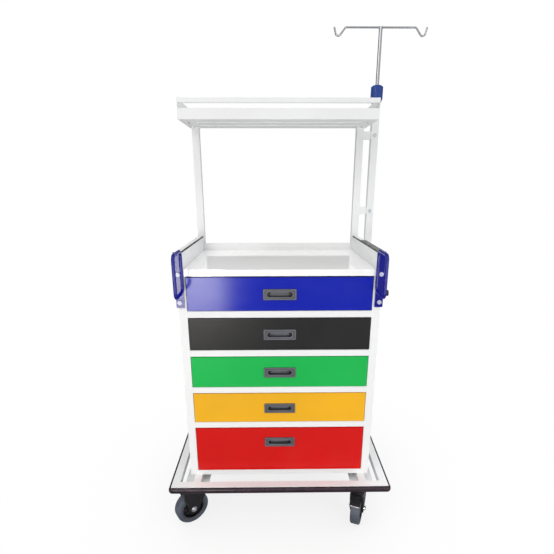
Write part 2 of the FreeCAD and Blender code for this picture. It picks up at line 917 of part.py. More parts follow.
def weld_lugs(word, side):
    """Two short blocks that join the loop to its plate, clear of the worktop's lip."""
    rear = front - cell("handle_plate")
    near = rear - cell("loop_bar")
    thick = 6
    tall = 20
    inset = 10
    lugs = []
    for tag, low in (("Low", cell("loop_low") + inset), ("High", cell("loop_high") - inset - tall)):
        lugs.append(side_box(
            f"Lug{word}{tag}", side, (rail_in, near, low), (rail_in + thick, rear + 1, low + tall)))
    return lugs


def make_side_handle(word, side):
    """Bolted plate with its welded hand loop."""
    face = front - cell("handle_plate")
    plate = side_box(
        f"HandlePlate{word}", side,
        (rail_in, face, cell("handle_low")), (rail_out, front, cell("handle_high")))
    hole_radius = screw_radius + cell("bolt_fit")
    holes = [
        rod(f"HandleHole{word}{level}", hole_radius, (screw_across * side, face - 1, cell(level)), 10, "y")
        for level in SCREW_LEVELS
    ]
    drilled = cut(f"HandleDrilled{word}", plate, fuse(f"HandleHoles{word}", holes))
    parts = [drilled] + handle_loop(word, side) + weld_lugs(word, side)
    node(fuse(f"SideHandle{word}", parts), f"side_handle_{word.lower()}")


def make_bracket_screws():
    face = front - cell("handle_plate")
    head_high = 4
    head_radius = 6.5
    grip = 14
    screws = []
    for side in (-1, 1):
        for level in SCREW_LEVELS:
            tag = f"{level}{'R' if side > 0 else 'L'}"
            spot = (screw_across * side, face - head_high, cell(level))
            head = rod(f"ScrewHead{tag}", head_radius, spot, head_high, "y")
            shank = rod(f"ScrewShank{tag}", screw_radius, spot, head_high + cell("handle_plate") + grip, "y")
            screws.append(fuse(f"Screw{tag}", [head, shank]))
    node(group("BracketScrews", screws), "bracket_screws")


# ---------------------------------------------------------------------------
# Overhead shelf
# ---------------------------------------------------------------------------
def make_post(word, side):
    """Square tube standing on the cabinet's rear corner, open at its lower end."""
    high = cell("shelf_bottom")
    wall = cell("post_wall")
    outside = side_box(f"Post{word}", side, (post_in, post_front, frame_top), (cell("post_half"), back, high))
    inside = side_box(
        f"PostSpace{word}", side,
        (post_in + wall, post_front + wall, frame_top - 1),
        (cell("post_half") - wall, back - wall, high - wall),
    )
    node(cut(f"RearPost{word}", outside, inside), f"post_{word.lower()}")


def make_shelf_tray():
    half = cell("shelf_half")
    low = cell("shelf_bottom")
    skin = cell("shelf_sheet")
    nose = back - cell("shelf_depth")
    rear = back + skin
    over = low + cell("shelf_lip") * 2
    outside = box("ShelfOutside", (-half, nose, low), (half, rear, low + cell("shelf_lip")))
    inside = box("ShelfInside", (-half + skin, nose + skin, low + skin), (half - skin, rear - skin, over))
    node(cut("ShelfTray", outside, inside), "shelf_tray")


def make_shelf_guard():
    """Front guard rail between two thin side cheeks that stand on the shelf's lips."""
    half = cell("shelf_half")
    low = cell("shelf_bottom") + cell("shelf_lip")
    high = cell("shelf_bottom") + cell("guard_top")
    bar = cell("guard_bar")
    skin = cell("shelf_sheet")
    nose = back - cell("shelf_depth")
    parts = [box("GuardBar", (-half, nose, high - bar), (half, nose + bar, high))]
    for side in (-1, 1):
        parts.append(side_box(f"GuardCheek{side}", side, (half - skin, nose, low), (half, back + skin, high)))
    node(fuse("ShelfGuard", parts), "shelf_guard")


# ---------------------------------------------------------------------------
# Infusion pole
# ---------------------------------------------------------------------------
pole_x = cell("pole_centre")
pole_y = back - cell("post_side") / 2


def make_iv_post():
    """Square tube with a bored spigot on top, held off the cart by three short brackets."""
    half = tube / 2
    low = cell("pole_tube_low")
    high = cell("pole_tube_top")
    wall = cell("post_wall")
    top_wall = 15
    bracket_deep = 8
    bracket_high = 13
    outside = box("PoleTube", (pole_x - half, pole_y - half, low), (pole_x + half, pole_y + half, high))
    inside = box(
        "PoleTubeSpace",
        (pole_x - half + wall, pole_y - half + wall, low - 1),
        (pole_x + half - wall, pole_y + half - wall, high - top_wall),
    )
    spigot = rod("Spigot", cell("spigot_radius"), (pole_x, pole_y, high - 1), cell("spigot_height") + 1)
    parts = [outside, spigot]
    for tag, start, centre in (
        ("Top", cell("post_half"), cell("shelf_bottom") - 26),
        ("Middle", cell("post_half"), work_level + 148),
        ("Foot", wide, cell("pole_tube_low") + 40),
    ):
        parts.append(box(
            f"PoleBracket{tag}",
            (start, pole_y - bracket_deep, centre - bracket_high),
            (pole_x - half + 1, pole_y + bracket_deep, centre + bracket_high),
        ))
    bore = rod("SpigotBore", cell("collet_radius") + cell("bolt_fit"), (pole_x, pole_y, high - 40), 100)
    node(cut("IvPost", fuse("IvPostSolid", parts), fuse("IvPostSpace", [inside, bore])), "iv_post")


def make_iv_collet():
    """Split sleeve that grips the pole and turns with it in the spigot."""
    low = cell("pole_tube_top") - 20
    length = 48
    half_slit = 0.6
    solid_ring = 10
    sleeve = rod("ColletSleeve", cell("collet_radius"), (pole_x, pole_y, low), length)
    bore = rod("ColletBore", cell("collet_bore"), (pole_x, pole_y, low - 1), length + 2)
    slit = box(
        "ColletSlit",
        (pole_x, pole_y - half_slit, low + solid_ring),
        (pole_x + cell("collet_radius") * 2, pole_y + half_slit, low + length + 1),
    )
    node(cut("IvCollet", sleeve, fuse("ColletSpace", [bore, slit])), "iv_collet")


def make_iv_knob():
    """Fluted twist lock: a tapered skirt over the spigot and a gripping crown round the pole."""
    body = new_body("IvKnob")
    radius = cell("knob_radius")
    high = cell("knob_high") - cell("knob_low")
    skirt_bore = cell("spigot_radius") + cell("running_fit")
    pole_bore = cell("pole_radius") + 0.3
    inner_step = cell("pole_tube_top") + cell("spigot_height") - cell("knob_low") + 5
    taper_high = 15
    taper_in = 6
    chamfer = 3
    flute_radius = 3
    section = new_sketch(body, "XZ_Plane", "KnobSection")
    outline(section, [
        (skirt_bore, 0), (radius - taper_in, 0), (radius, taper_high), (radius, high - chamfer),
        (radius - chamfer, high), (pole_bore, high), (pole_bore, inner_step), (skirt_bore, inner_step),
    ])
    turned(body, section, "KnobTurned", "V_Axis")
    flute = new_sketch(body, "XY_Plane", "KnobFlute", high + 1)
    circle(flute, flute_radius, (radius + 1.2, 0))
    groove = pocket(body, flute, high, "KnobGroove")
    pattern = body.newObject("PartDesign::PolarPattern", "KnobFlutes")
    pattern.Originals = [groove]
    pattern.Axis = (origin_feature(body, "Z_Axis"), [""])
    pattern.Angle = 360
    pattern.Occurrences = 14
    body.Tip = pattern
    doc.recompute()
    put(body, (pole_x, pole_y, cell("knob_low")))
    node(body, "iv_knob")


HOOK_FALL = 52
HOOK_RISE = 75


def slanted_rod(name, radius, start, length, lean):
    """Round bar from start, leaning from upright towards +X by lean degrees."""
    item = rod(name, radius, start, length)
    item.Placement.Rotation = Rotation(Vector(0, 1, 0), lean)
    return item


def hook(side):
    """Rod from the end of the cross bar: a slope down, an upturned bowl and a slanting tip."""
    word = "Right" if side > 0 else "Left"
    bar = cell("hook_rod")
    turn = cell("hook_bend")
    bowl = cell("hook_bowl")
    slope = cell("hook_slope")
    level = cell("pole_high")
    fall_along, fall_down = math.cos(math.radians(HOOK_FALL)), math.sin(math.radians(HOOK_FALL))
    rise_along, rise_up = math.cos(math.radians(HOOK_RISE)), math.sin(math.radians(HOOK_RISE))
    slope_out = cell("hook_arm") + turn * fall_down
    slope_level = level - turn * (1 - fall_along)
    bowl_out = slope_out + slope * fall_along + bowl * fall_down
    bowl_level = slope_level - slope * fall_down + bowl * fall_along
    tip_out = bowl_out + bowl * rise_up
    tip_level = bowl_level - bowl * rise_along
    end_out = tip_out + cell("hook_tip") * rise_along
    end_level = tip_level + cell("hook_tip") * rise_up
    upright = Rotation(Vector(1, 0, 0), 90)
    turn_start = 90 - HOOK_FALL if side > 0 else 90
    bowl_start = 270 - HOOK_FALL if side > 0 else 270 - HOOK_RISE
    tip = doc.addObject("Part::Sphere", f"HookTip{word}")
    bind(tip, "Radius", bar + 0.5)
    put(tip, (pole_x + end_out * side, pole_y, end_level))
    return [
        bend(
            f"HookTurn{word}", turn, bar, (pole_x + cell("hook_arm") * side, pole_y, level - turn),
            upright * Rotation(Vector(0, 0, 1), turn_start), HOOK_FALL),
        slanted_rod(
            f"HookSlope{word}", bar, (pole_x + slope_out * side, pole_y, slope_level), slope,
            (90 + HOOK_FALL) * side),
        bend(
            f"HookBowl{word}", bowl, bar, (pole_x + bowl_out * side, pole_y, bowl_level),
            upright * Rotation(Vector(0, 0, 1), bowl_start), HOOK_FALL + HOOK_RISE),
        slanted_rod(
            f"HookEnd{word}", bar, (pole_x + tip_out * side, pole_y, tip_level), cell("hook_tip"),
            (90 - HOOK_RISE) * side),
        tip,
    ]


def make_iv_pole():
    low = cell("pole_low")
    level = cell("pole_high")
    arm = cell("hook_arm")
    parts = [
        rod("PoleRod", cell("pole_radius"), (pole_x, pole_y, low), level - low),
        rod("HookBar", cell("hook_rod"), (pole_x - arm, pole_y, level), arm * 2, "x"),
    ]
    for side in (-1, 1):
        parts += hook(side)
    node(fuse("IvPole", parts), "iv_pole")


def make_thumb_screw():
    """Black thumb screw in the right stile, beside the handle plate."""
    stud = cell("thumb_stud")
    radius = cell("thumb_radius")
    spot_y = front + cell("frame_depth") / 2
    height = cell("thumb_height")
    inner_end = wide - 15
    head_start = wide + 11
    head_long = 13
    collar_start = wide + 0.5
    parts = [
        rod("ThumbStud", stud, (inner_end, spot_y, height), head_start + 1 - inner_end, "x"),
        rod("ThumbHead", radius, (head_start, spot_y, height), head_long, "x"),
        rod("ThumbCollar", radius - 2, (collar_start, spot_y, height), head_start + 1 - collar_start, "x"),
    ]
    node(fuse("ThumbScrew", parts), "thumb_screw")


# ---------------------------------------------------------------------------
# Assembly and export
# ---------------------------------------------------------------------------
def build_all():
    make_base_frame()
    make_bumper()
    make_caster_plates()
    for place in CASTERS:
        make_fork(place)
        make_axle(place)
        make_hub(place)
        make_tyre(place)
    for place in BRAKED:
        make_pedal(place)
    make_cabinet_shell()
    make_face_frame()
    make_cabinet_runners()
    for number in range(1, DRAWERS + 1):
        make_drawer_front(number)
        make_drawer_tray(number)
        make_drawer_slides(number)
        make_pull(number)
    make_worktop()
    for word, side in (("Left", -1), ("Right", 1)):
        make_side_rail(word, side)
        make_side_handle(word, side)
        make_post(word, side)
    make_rail_caps()
    make_bracket_screws()
    make_shelf_tray()
    make_shelf_guard()
    make_iv_post()
    make_iv_collet()
    make_iv_knob()
    make_iv_pole()
    make_thumb_screw()


def check_all():
    for item in doc.Objects:
        if "Invalid" in item.State or "Error" in item.State:
            raise RuntimeError(f"{item.Name} failed: {item.State}")
    for item in nodes:
        if item.Shape.isNull() or not item.Shape.isValid():
            raise RuntimeError(f"{item.Label} has no valid shape")


build_all()
doc.recompute()
check_all()
for item in nodes:
    item.Shape.exportStep(f"parts/{item.Label}.step")
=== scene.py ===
import json
import math
import random

import bmesh
import bpy
from mathutils import Matrix, Vector


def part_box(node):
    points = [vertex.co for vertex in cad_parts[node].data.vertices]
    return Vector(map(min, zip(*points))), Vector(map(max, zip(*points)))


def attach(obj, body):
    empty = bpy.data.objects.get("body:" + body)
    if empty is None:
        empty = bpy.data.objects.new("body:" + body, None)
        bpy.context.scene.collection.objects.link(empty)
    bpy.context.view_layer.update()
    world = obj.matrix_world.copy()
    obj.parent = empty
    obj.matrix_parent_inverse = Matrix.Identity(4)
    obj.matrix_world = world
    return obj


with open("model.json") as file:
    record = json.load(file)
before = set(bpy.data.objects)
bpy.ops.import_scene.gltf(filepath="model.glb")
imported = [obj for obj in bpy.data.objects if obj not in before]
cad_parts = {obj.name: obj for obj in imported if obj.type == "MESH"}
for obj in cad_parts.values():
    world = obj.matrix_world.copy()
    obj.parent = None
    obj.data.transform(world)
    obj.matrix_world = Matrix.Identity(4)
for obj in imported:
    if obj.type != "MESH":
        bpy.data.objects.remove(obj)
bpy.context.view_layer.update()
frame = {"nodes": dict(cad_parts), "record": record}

NODES = frame["nodes"]
SLOT_OF = {part["node"]: part["material_slot"] for part in frame["record"]["subparts"]}
JOINTS = {joint["name"]: joint for joint in frame["record"]["behaviour"]["joints"]}
MM = 0.001
UP = Vector((0, 0, 1))
rng = random.Random(7)

CASTER_PLACES = ("front_left", "front_right", "rear_left", "rear_right")
BRAKED_PLACES = ("front_right", "rear_left")
DRAWER_NUMBERS = range(1, 6)


# ---------------------------------------------------------------------------
# Node trees
# ---------------------------------------------------------------------------
MIX_FACTOR, MIX_FIRST, MIX_SECOND, MIX_RESULT = 0, 6, 7, 2    # sockets of a Mix node set to colour
RANGE_FIELDS = ("From Min", "From Max", "To Min", "To Max")
SURFACE_FIELDS = {
    "colour": "Base Color", "metallic": "Metallic", "roughness": "Roughness",
    "specular": "Specular IOR Level", "normal": "Normal",
}
EDGE_FLAT, EDGE_FULL = 0.995, 0.86    # cosines between the rounded and the true normal


class Tree:
    """A node tree, with short ways to add the nodes used here."""

    def __init__(self, tree):
        self.tree = tree

    def add(self, kind, **settings):
        node = self.tree.nodes.new(kind)
        for field, value in settings.items():
            setattr(node, field, value)
        return node

    def feed(self, socket, value):
        """Link an output into a socket, or set a plain value on it."""
        if isinstance(value, bpy.types.NodeSocket):
            self.tree.links.new(value, socket)
        else:
            socket.default_value = value

    def span(self, value, low, high, out_low, out_high):
        """Map a value from one range to another, clamped."""
        node = self.add("ShaderNodeMapRange")
        self.feed(node.inputs["Value"], value)
        for field, number in zip(RANGE_FIELDS, (low, high, out_low, out_high)):
            node.inputs[field].default_value = number
        return node.outputs["Result"]

    def maths(self, operation, first, second):
        node = self.add("ShaderNodeMath", operation=operation)
        self.feed(node.inputs[0], first)
        self.feed(node.inputs[1], second)
        return node.outputs[0]

    def mix(self, factor, first, second, blend="MIX"):
        node = self.add("ShaderNodeMix", data_type="RGBA", blend_type=blend)
        self.feed(node.inputs[MIX_FACTOR], factor)
        self.feed(node.inputs[MIX_FIRST], first)
        self.feed(node.inputs[MIX_SECOND], second)
        return node.outputs[MIX_RESULT]

    def axis(self, vector, name):
        """One coordinate of a vector."""
        split = self.add("ShaderNodeSeparateXYZ")
        self.feed(split.inputs[0], vector)
        return split.outputs[name]


class Shader(Tree):
    """A material's node tree, with textures laid out in the piece's own coordinates."""

    def __init__(self, name):
        self.material = bpy.data.materials.new(name)
        self.material.use_nodes = True
        super().__init__(self.material.node_tree)
        self.surface = self.tree.nodes["Principled BSDF"]
        self.place = self.add("ShaderNodeTexCoord").outputs["Object"]

    def set(self, **values):
        for field, value in values.items():
            self.feed(self.surface.inputs[SURFACE_FIELDS[field]], value)

    def texture(self, kind, scale, stretch):
        mapping = self.add("ShaderNodeMapping")
        mapping.inputs["Scale"].default_value = stretch
        self.feed(mapping.inputs["Vector"], self.place)
        node = self.add(kind)
        self.feed(node.inputs["Vector"], mapping.outputs["Vector"])
        node.inputs["Scale"].default_value = scale
        return node

    def noise(self, scale, detail=3, stretch=(1, 1, 1), distortion=0.0):
        node = self.texture("ShaderNodeTexNoise", scale, stretch)
        node.inputs["Detail"].default_value = detail
        node.inputs["Distortion"].default_value = distortion
        return node.outputs["Fac"]

    def cells(self, scale):
        return self.texture("ShaderNodeTexVoronoi", scale, (1, 1, 1)).outputs["Color"]

    def soft_noise(self, scale, detail, low=0.35, high=0.65, **layout):
        """Noise stretched to run from 0 to 1 between two of its levels."""
        return self.span(self.noise(scale, detail, **layout), low, high, 0.0, 1.0)

    def edge(self, radius):
        """Near 1 along sharp edges and 0 on flats, at the given radius in metres."""
        bevel = self.add("ShaderNodeBevel", samples=4)
        bevel.inputs["Radius"].default_value = radius
        geometry = self.add("ShaderNodeNewGeometry")
        dot = self.add("ShaderNodeVectorMath", operation="DOT_PRODUCT")
        self.feed(dot.inputs[0], bevel.outputs["Normal"])
        self.feed(dot.inputs[1], geometry.outputs["Normal"])
        return self.span(dot.outputs["Value"], EDGE_FLAT, EDGE_FULL, 0.0, 1.0)

    def height(self):
        """Height above the floor in metres, at rest."""
        return self.axis(self.place, "Z")

    def bump(self, *layers):
        """Normal from one or more (height, strength, distance) layers."""
        normal = None
        for value, strength, distance in layers:
            node = self.add("ShaderNodeBump")
            node.inputs["Strength"].default_value = strength
            node.inputs["Distance"].default_value = distance
            self.feed(node.inputs["Height"], value)
            if normal is not None:
                self.feed(node.inputs["Normal"], normal)
            normal = node.outputs["Normal"]
        self.set(normal=normal)


def grey(level):
    return (level, level, level, 1)


def srgb(red, green, blue):
    """Linear colour for an 8-bit sRGB one."""
    def one(value):
        value /= 255
        return value / 12.92 if value <= 0.04045 else ((value + 0.055) / 1.055) ** 2.4
    return (one(red), one(green), one(blue), 1)


def scaled(colour, factor):
    return tuple(min(1.0, channel * factor) for channel in colour[:3]) + (1,)


# ---------------------------------------------------------------------------
# Camera, light and floor
# ---------------------------------------------------------------------------
CAMERA_PLACE = (-0.019, -1.398, 1.136)
CAMERA_HEADING, CAMERA_PITCH, CAMERA_ROLL = 0.67, 17.14, -0.06    # degrees
CAMERA_LENS, SENSOR_WIDTH = 26.44, 36
CAMERA_SHIFT = (-0.002, 0.063)
CAMERA_NEAR = 0.05

# Levels of the surroundings, as (place from 0 to 1, level) stops
REFLECTED_BY_HEIGHT = ((0.0, 0.3), (0.5, 0.75), (0.62, 0.85), (0.8, 1.0), (1.0, 1.2))
REFLECTED_BY_DEPTH = ((0.0, 1.3), (0.4, 1.0), (0.55, 0.5), (0.72, 0.14), (1.0, 0.1))
DIFFUSE_BY_HEIGHT = ((0.0, 0.27), (0.5, 0.24), (0.75, 0.74), (1.0, 1.25))

FLOOR_RADIUS, FLOOR_SEGMENTS = 30, 96
FLOOR_BOUNCED, FLOOR_SEEN = 0.43, 0.86    # the floor's grey in bounced light and to the camera
FADE_REACH = (0.3, 1.05)                  # metres from the origin between which the floor fades
FADE_LEVELS = (0.78, 1.0)                 # share of the backdrop's white at those two distances


def make_camera():
    """Stands a little left of the middle, above the worktop, and looks down at the cart's front."""
    heading, pitch, roll = (math.radians(angle) for angle in (CAMERA_HEADING, CAMERA_PITCH, CAMERA_ROLL))
    data = bpy.data.cameras.new("Camera")
    data.lens = CAMERA_LENS
    data.sensor_width = SENSOR_WIDTH
    data.shift_x, data.shift_y = CAMERA_SHIFT
    data.clip_start = CAMERA_NEAR
    camera = bpy.data.objects.new("Camera", data)
    bpy.context.scene.collection.objects.link(camera)
    turn = Matrix.Rotation(-heading, 4, "Z") @ Matrix.Rotation(math.pi / 2 - pitch, 4, "X")
    place = Matrix.Translation(Vector(CAMERA_PLACE))
    camera.matrix_world = place @ turn @ Matrix.Rotation(roll, 4, "Z")
    bpy.context.scene.camera = camera


def make_world():
    """White backdrop for the camera, with light that is brighter overhead.

    Reflections see a room that is darker behind the cart.
    """
    world = bpy.data.worlds.new("Studio")
    bpy.context.scene.world = world
    world.use_nodes = True
    tree = Tree(world.node_tree)
    background = tree.tree.nodes["Background"]
    path = tree.add("ShaderNodeLightPath")
    direction = tree.add("ShaderNodeTexCoord").outputs["Generated"]

    def levels(axis, stops):
        spread = tree.span(tree.axis(direction, axis), -1, 1, 0.0, 1.0)
        ramp = tree.add("ShaderNodeValToRGB")
        tree.feed(ramp.inputs["Fac"], spread)
        elements = ramp.color_ramp.elements
        for index, (spot, level) in enumerate(stops):
            element = elements[index] if index < 2 else elements.new(spot)
            element.position = spot
            element.color = grey(level)
        return ramp.outputs["Color"]

    by_height = levels("Z", REFLECTED_BY_HEIGHT)
    by_depth = levels("Y", REFLECTED_BY_DEPTH)
    reflected = tree.mix(1.0, by_height, by_depth, "MULTIPLY")
    diffuse = levels("Z", DIFFUSE_BY_HEIGHT)
    lit = tree.mix(path.outputs["Is Glossy Ray"], diffuse, reflected)
    seen = tree.mix(path.outputs["Is Camera Ray"], lit, grey(1.0))
    tree.feed(background.inputs["Color"], seen)
    background.inputs["Strength"].default_value = 1.0


def make_stage():
    """Plain pale floor that brightens to the backdrop's white away from the cart."""
    mesh = bpy.data.meshes.new("floor")
    shape = bmesh.new()
    bmesh.ops.create_circle(shape, cap_ends=True, radius=FLOOR_RADIUS, segments=FLOOR_SEGMENTS)
    shape.to_mesh(mesh)
    shape.free()
    floor = bpy.data.objects.new("floor", mesh)
    bpy.context.scene.collection.objects.link(floor)
    shader = Shader("floor")
    to_camera = shader.add("ShaderNodeLightPath").outputs["Is Camera Ray"]
    shader.set(
        colour=shader.mix(to_camera, grey(FLOOR_BOUNCED), grey(FLOOR_SEEN)), roughness=0.8, specular=0.1)
    reach = shader.add("ShaderNodeVectorMath", operation="LENGTH")
    shader.feed(reach.inputs[0], shader.place)
    fade = shader.span(reach.outputs["Value"], *FADE_REACH, *FADE_LEVELS)
    fade.node.interpolation_type = "SMOOTHSTEP"
    glow = shader.add("ShaderNodeEmission")
    blend = shader.add("ShaderNodeMixShader")
    shader.feed(blend.inputs[0], shader.maths("MULTIPLY", fade, to_camera))
    shader.feed(blend.inputs[1], shader.surface.outputs[0])
    shader.feed(blend.inputs[2], glow.outputs[0])
    shader.feed(shader.tree.nodes["Material Output"].inputs["Surface"], blend.outputs[0])
    mesh.materials.append(shader.material)


def aim(item, target):
    item.rotation_euler = (Vector(target) - item.location).to_track_quat("-Z", "Y").to_euler()


def area_light(name, place, target, size, watts, colour=(1, 1, 1)):
    data = bpy.data.lights.new(name, "AREA")
    data.shape = "RECTANGLE"
    data.size, data.size_y = size
    data.energy = watts
    data.color = colour
    item = bpy.data.objects.new(name, data)
    bpy.context.scene.collection.objects.link(item)
    item.location = place
    aim(item, target)
    item.visible_camera = False


def make_lights():
    """Warm key from the left, cool fill low on the right, rim from behind, and a small card on the left."""
    area_light("key", (-2.0, -2.6, 3.2), (0, 0, 0.6), (2.2, 2.2), 32, (1.0, 0.99, 0.97))
    area_light("fill", (1.75, -2.3, 0.6), (0, 0, 0.35), (1.0, 1.1), 18, (0.96, 0.98, 1.0))
    area_light("rim", (1.2, 3.0, 2.8), (0, 0, 0.8), (2.4, 1.6), 26)
    area_light("low_card", (-0.64, -2.2, 0.44), (-0.24, -0.21, 0.85), (0.44, 0.56), 11, (1.0, 0.97, 0.90))


def set_view():
    settings = bpy.context.scene.view_settings
    settings.view_transform = "Standard"
    settings.look = "None"


make_camera()
make_world()
make_stage()
make_lights()
set_view()


# ---------------------------------------------------------------------------
# Materials
# ---------------------------------------------------------------------------
BARE_METAL = srgb(150, 150, 152)
BARE_PANEL = srgb(150, 152, 156)
FLOOR_DIRT = srgb(120, 112, 104)
PALE_DUST = srgb(190, 190, 190)
RUBBED_RUBBER = srgb(128, 122, 120)
DIRT_HEIGHTS = (0.10, 0.34)      # metres above the floor, from most dirt to none
LENGTHWISE = (60, 60, 1)         # stretches noise into lines along an upright pole


def powder_coat(name, colour, shine):
    """Baked powder coat: orange peel, soft colour drift, worn edges and a little grime low down."""
    shader = Shader(name)
    base = shader.mix(shader.soft_noise(3.2, 4), scaled(colour, 0.965), scaled(colour, 1.01))
    patches = shader.soft_noise(46, 5, 0.52, 0.72, distortion=0.4)
    worn = shader.maths("MULTIPLY", shader.edge(0.0012), patches)
    base = shader.mix(shader.maths("MULTIPLY", worn, 0.35), base, BARE_METAL)
    low_down = shader.span(shader.height(), *DIRT_HEIGHTS, 0.10, 0.0)
    base = shader.mix(shader.maths("MULTIPLY", low_down, shader.noise(9, 5)), base, FLOOR_DIRT)
    rough = shader.span(shader.noise(11, 4), 0.3, 0.7, shine - 0.05, shine + 0.07)
    shader.set(colour=base, roughness=rough, specular=0.3)
    shader.bump((shader.noise(260, 2), 0.02, 0.0005))
    return shader.material


def gloss_coat(name, colour, shine, wave, gloss):
    """Gloss enamel on a thin panel: faint long waves, fine peel, swirl marks and worn edges."""
    shader = Shader(name)
    base = shader.mix(shader.soft_noise(2.4, 3), scaled(colour, 0.92), scaled(colour, 1.05))
    patches = shader.soft_noise(60, 5, 0.55, 0.75, distortion=0.5)
    worn = shader.maths("MULTIPLY", shader.edge(0.0011), patches)
    base = shader.mix(shader.maths("MULTIPLY", worn, 0.4), base, BARE_PANEL)
    dust = shader.maths("MULTIPLY", shader.soft_noise(4, 6, 0.5, 0.8, distortion=0.5), 0.02)
    base = shader.mix(dust, base, PALE_DUST)
    wipes = shader.noise(7, 5, stretch=(0.35, 1, 1.6), distortion=0.6)
    shader.set(colour=base, roughness=shader.span(wipes, 0.3, 0.7, shine, shine + 0.08), specular=gloss)
    shader.bump((shader.noise(5.0, 2), wave, 0.0012), (shader.noise(330, 2), 0.02, 0.0003))
    return shader.material


def rubber(name, colour, shine, scuff):
    """Extruded or moulded rubber: matt with fine grain and pale scuffs."""
    shader = Shader(name)
    base = shader.mix(shader.soft_noise(20, 5), scaled(colour, 0.8), scaled(colour, 1.25))
    streaks = shader.soft_noise(38, 6, 0.56, 0.72, stretch=(0.25, 0.25, 2.5), distortion=0.8)
    base = shader.mix(shader.maths("MULTIPLY", streaks, 0.22 * scuff), base, RUBBED_RUBBER)
    rough = shader.span(shader.noise(26, 4), 0.3, 0.7, shine - 0.1, shine + 0.15)
    shader.set(colour=base, roughness=rough, specular=0.4)
    shader.bump((shader.noise(900, 2), 0.12, 0.0003), (shader.noise(70, 3), 0.08, 0.0008))
    return shader.material


def moulded(name, colour, shine, grain=1.0):
    """Moulded plastic: spark-eroded grain, slight colour drift and a painted highlight that pales its sharp
    edges.
    """
    shader = Shader(name)
    base = shader.mix(shader.soft_noise(14, 4), scaled(colour, 0.85), scaled(colour, 1.12))
    # Painted highlight: sharp edges mixed a little towards a much paler copy of the colour.
    base = shader.mix(shader.maths("MULTIPLY", shader.edge(0.0008), 0.28), base, scaled(colour, 2.2))
    rough = shader.span(shader.noise(30, 3), 0.3, 0.7, shine - 0.06, shine + 0.1)
    shader.set(colour=base, roughness=rough, specular=0.5)
    shader.bump((shader.noise(1100, 2), 0.16 * grain, 0.00025), (shader.noise(90, 2), 0.05, 0.0005))
    return shader.material


def plated(name, colour, shine, brushed):
    """Zinc-plated or brushed steel: crystal spangle, fine drawn lines and dull fingerprints."""
    shader = Shader(name)
    tone = shader.mix(0.12, colour, shader.cells(120))
    cloud = shader.maths("MULTIPLY", shader.soft_noise(17, 5), 0.22)
    tone = shader.mix(cloud, tone, scaled(colour, 0.6))
    lines = shader.noise(420, 3, stretch=brushed)
    rough = shader.span(lines, 0.25, 0.75, shine - 0.07, shine + 0.12)
    shader.set(colour=tone, metallic=1.0, roughness=rough)
    shader.bump((lines, 0.06, 0.0002))
    return shader.material


def polished(name, colour, shine, along):
    """Polished stainless steel: faint drawn lines along its length and soft smears."""
    shader = Shader(name)
    smear = shader.soft_noise(24, 5, 0.45, 0.75, distortion=0.6)
    lines = shader.noise(30, 4, stretch=along)
    tone = shader.mix(shader.maths("MULTIPLY", smear, 0.15), colour, scaled(colour, 0.8))
    drawn = shader.span(lines, 0.3, 0.7, shine, shine + 0.05)
    rough = shader.maths("ADD", drawn, shader.maths("MULTIPLY", smear, 0.03))
    shader.set(colour=tone, metallic=1.0, roughness=rough)
    shader.bump((shader.noise(9, 3), 0.05, 0.0004))
    return shader.material


# Name: maker, colour, then the maker's own settings
FINISHES = {
    "white_coat": (powder_coat, srgb(236, 237, 238), 0.42),
    "worktop_grey": (gloss_coat, srgb(253, 253, 252), 0.04, 0.08, 0.75),
    "drawer_blue": (gloss_coat, srgb(1, 26, 168), 0.12, 0.5, 0.34),
    "drawer_black": (gloss_coat, srgb(26, 26, 27), 0.3, 0.4, 0.3),
    "drawer_green": (gloss_coat, srgb(20, 182, 80), 0.16, 0.5, 0.3),
    "drawer_amber": (gloss_coat, srgb(240, 178, 30), 0.16, 0.5, 0.3),
    "drawer_red": (gloss_coat, srgb(208, 8, 4), 0.12, 0.5, 0.3),
    "handle_blue": (gloss_coat, srgb(3, 10, 132), 0.12, 0.2, 0.4),
    "bumper_rubber": (rubber, srgb(36, 16, 30), 0.26, 0.2),
    "tyre_grey": (rubber, srgb(76, 82, 94), 0.5, 0.8),
    "cap_grey": (rubber, srgb(128, 131, 130), 0.5, 0.5),
    "pull_grey": (moulded, srgb(70, 71, 77), 0.4),
    # Paler copy of pull_grey: painted highlight on the pulls' lips and painted light on the liners in their
    # slots.
    "pull_edge": (moulded, srgb(104, 106, 114), 0.34),
    "hub_black": (moulded, srgb(9, 9, 14), 0.36),
    "knob_blue": (moulded, srgb(2, 56, 140), 0.16, 0.3),
    "collet_black": (moulded, srgb(34, 34, 34), 0.4),
    "thumb_black": (moulded, srgb(20, 20, 21), 0.3),
    "screw_white": (moulded, srgb(186, 191, 216), 0.22, 0.3),
    "fork_black": (powder_coat, srgb(15, 15, 23), 0.3),
    "zinc_steel": (plated, srgb(188, 190, 194), 0.32, (1, 0.04, 1)),
    "bright_steel": (polished, srgb(214, 215, 218), 0.16, (1, 1, 1)),
    "pole_steel": (polished, srgb(166, 168, 172), 0.08, LENGTHWISE),
    "rim_steel": (plated, srgb(92, 94, 100), 0.34, (1, 1, 1)),
    "trim_black": (rubber, srgb(30, 31, 30), 0.45, 0.4),
}
MATERIALS = {name: make(name, *settings) for name, (make, *settings) in FINISHES.items()}


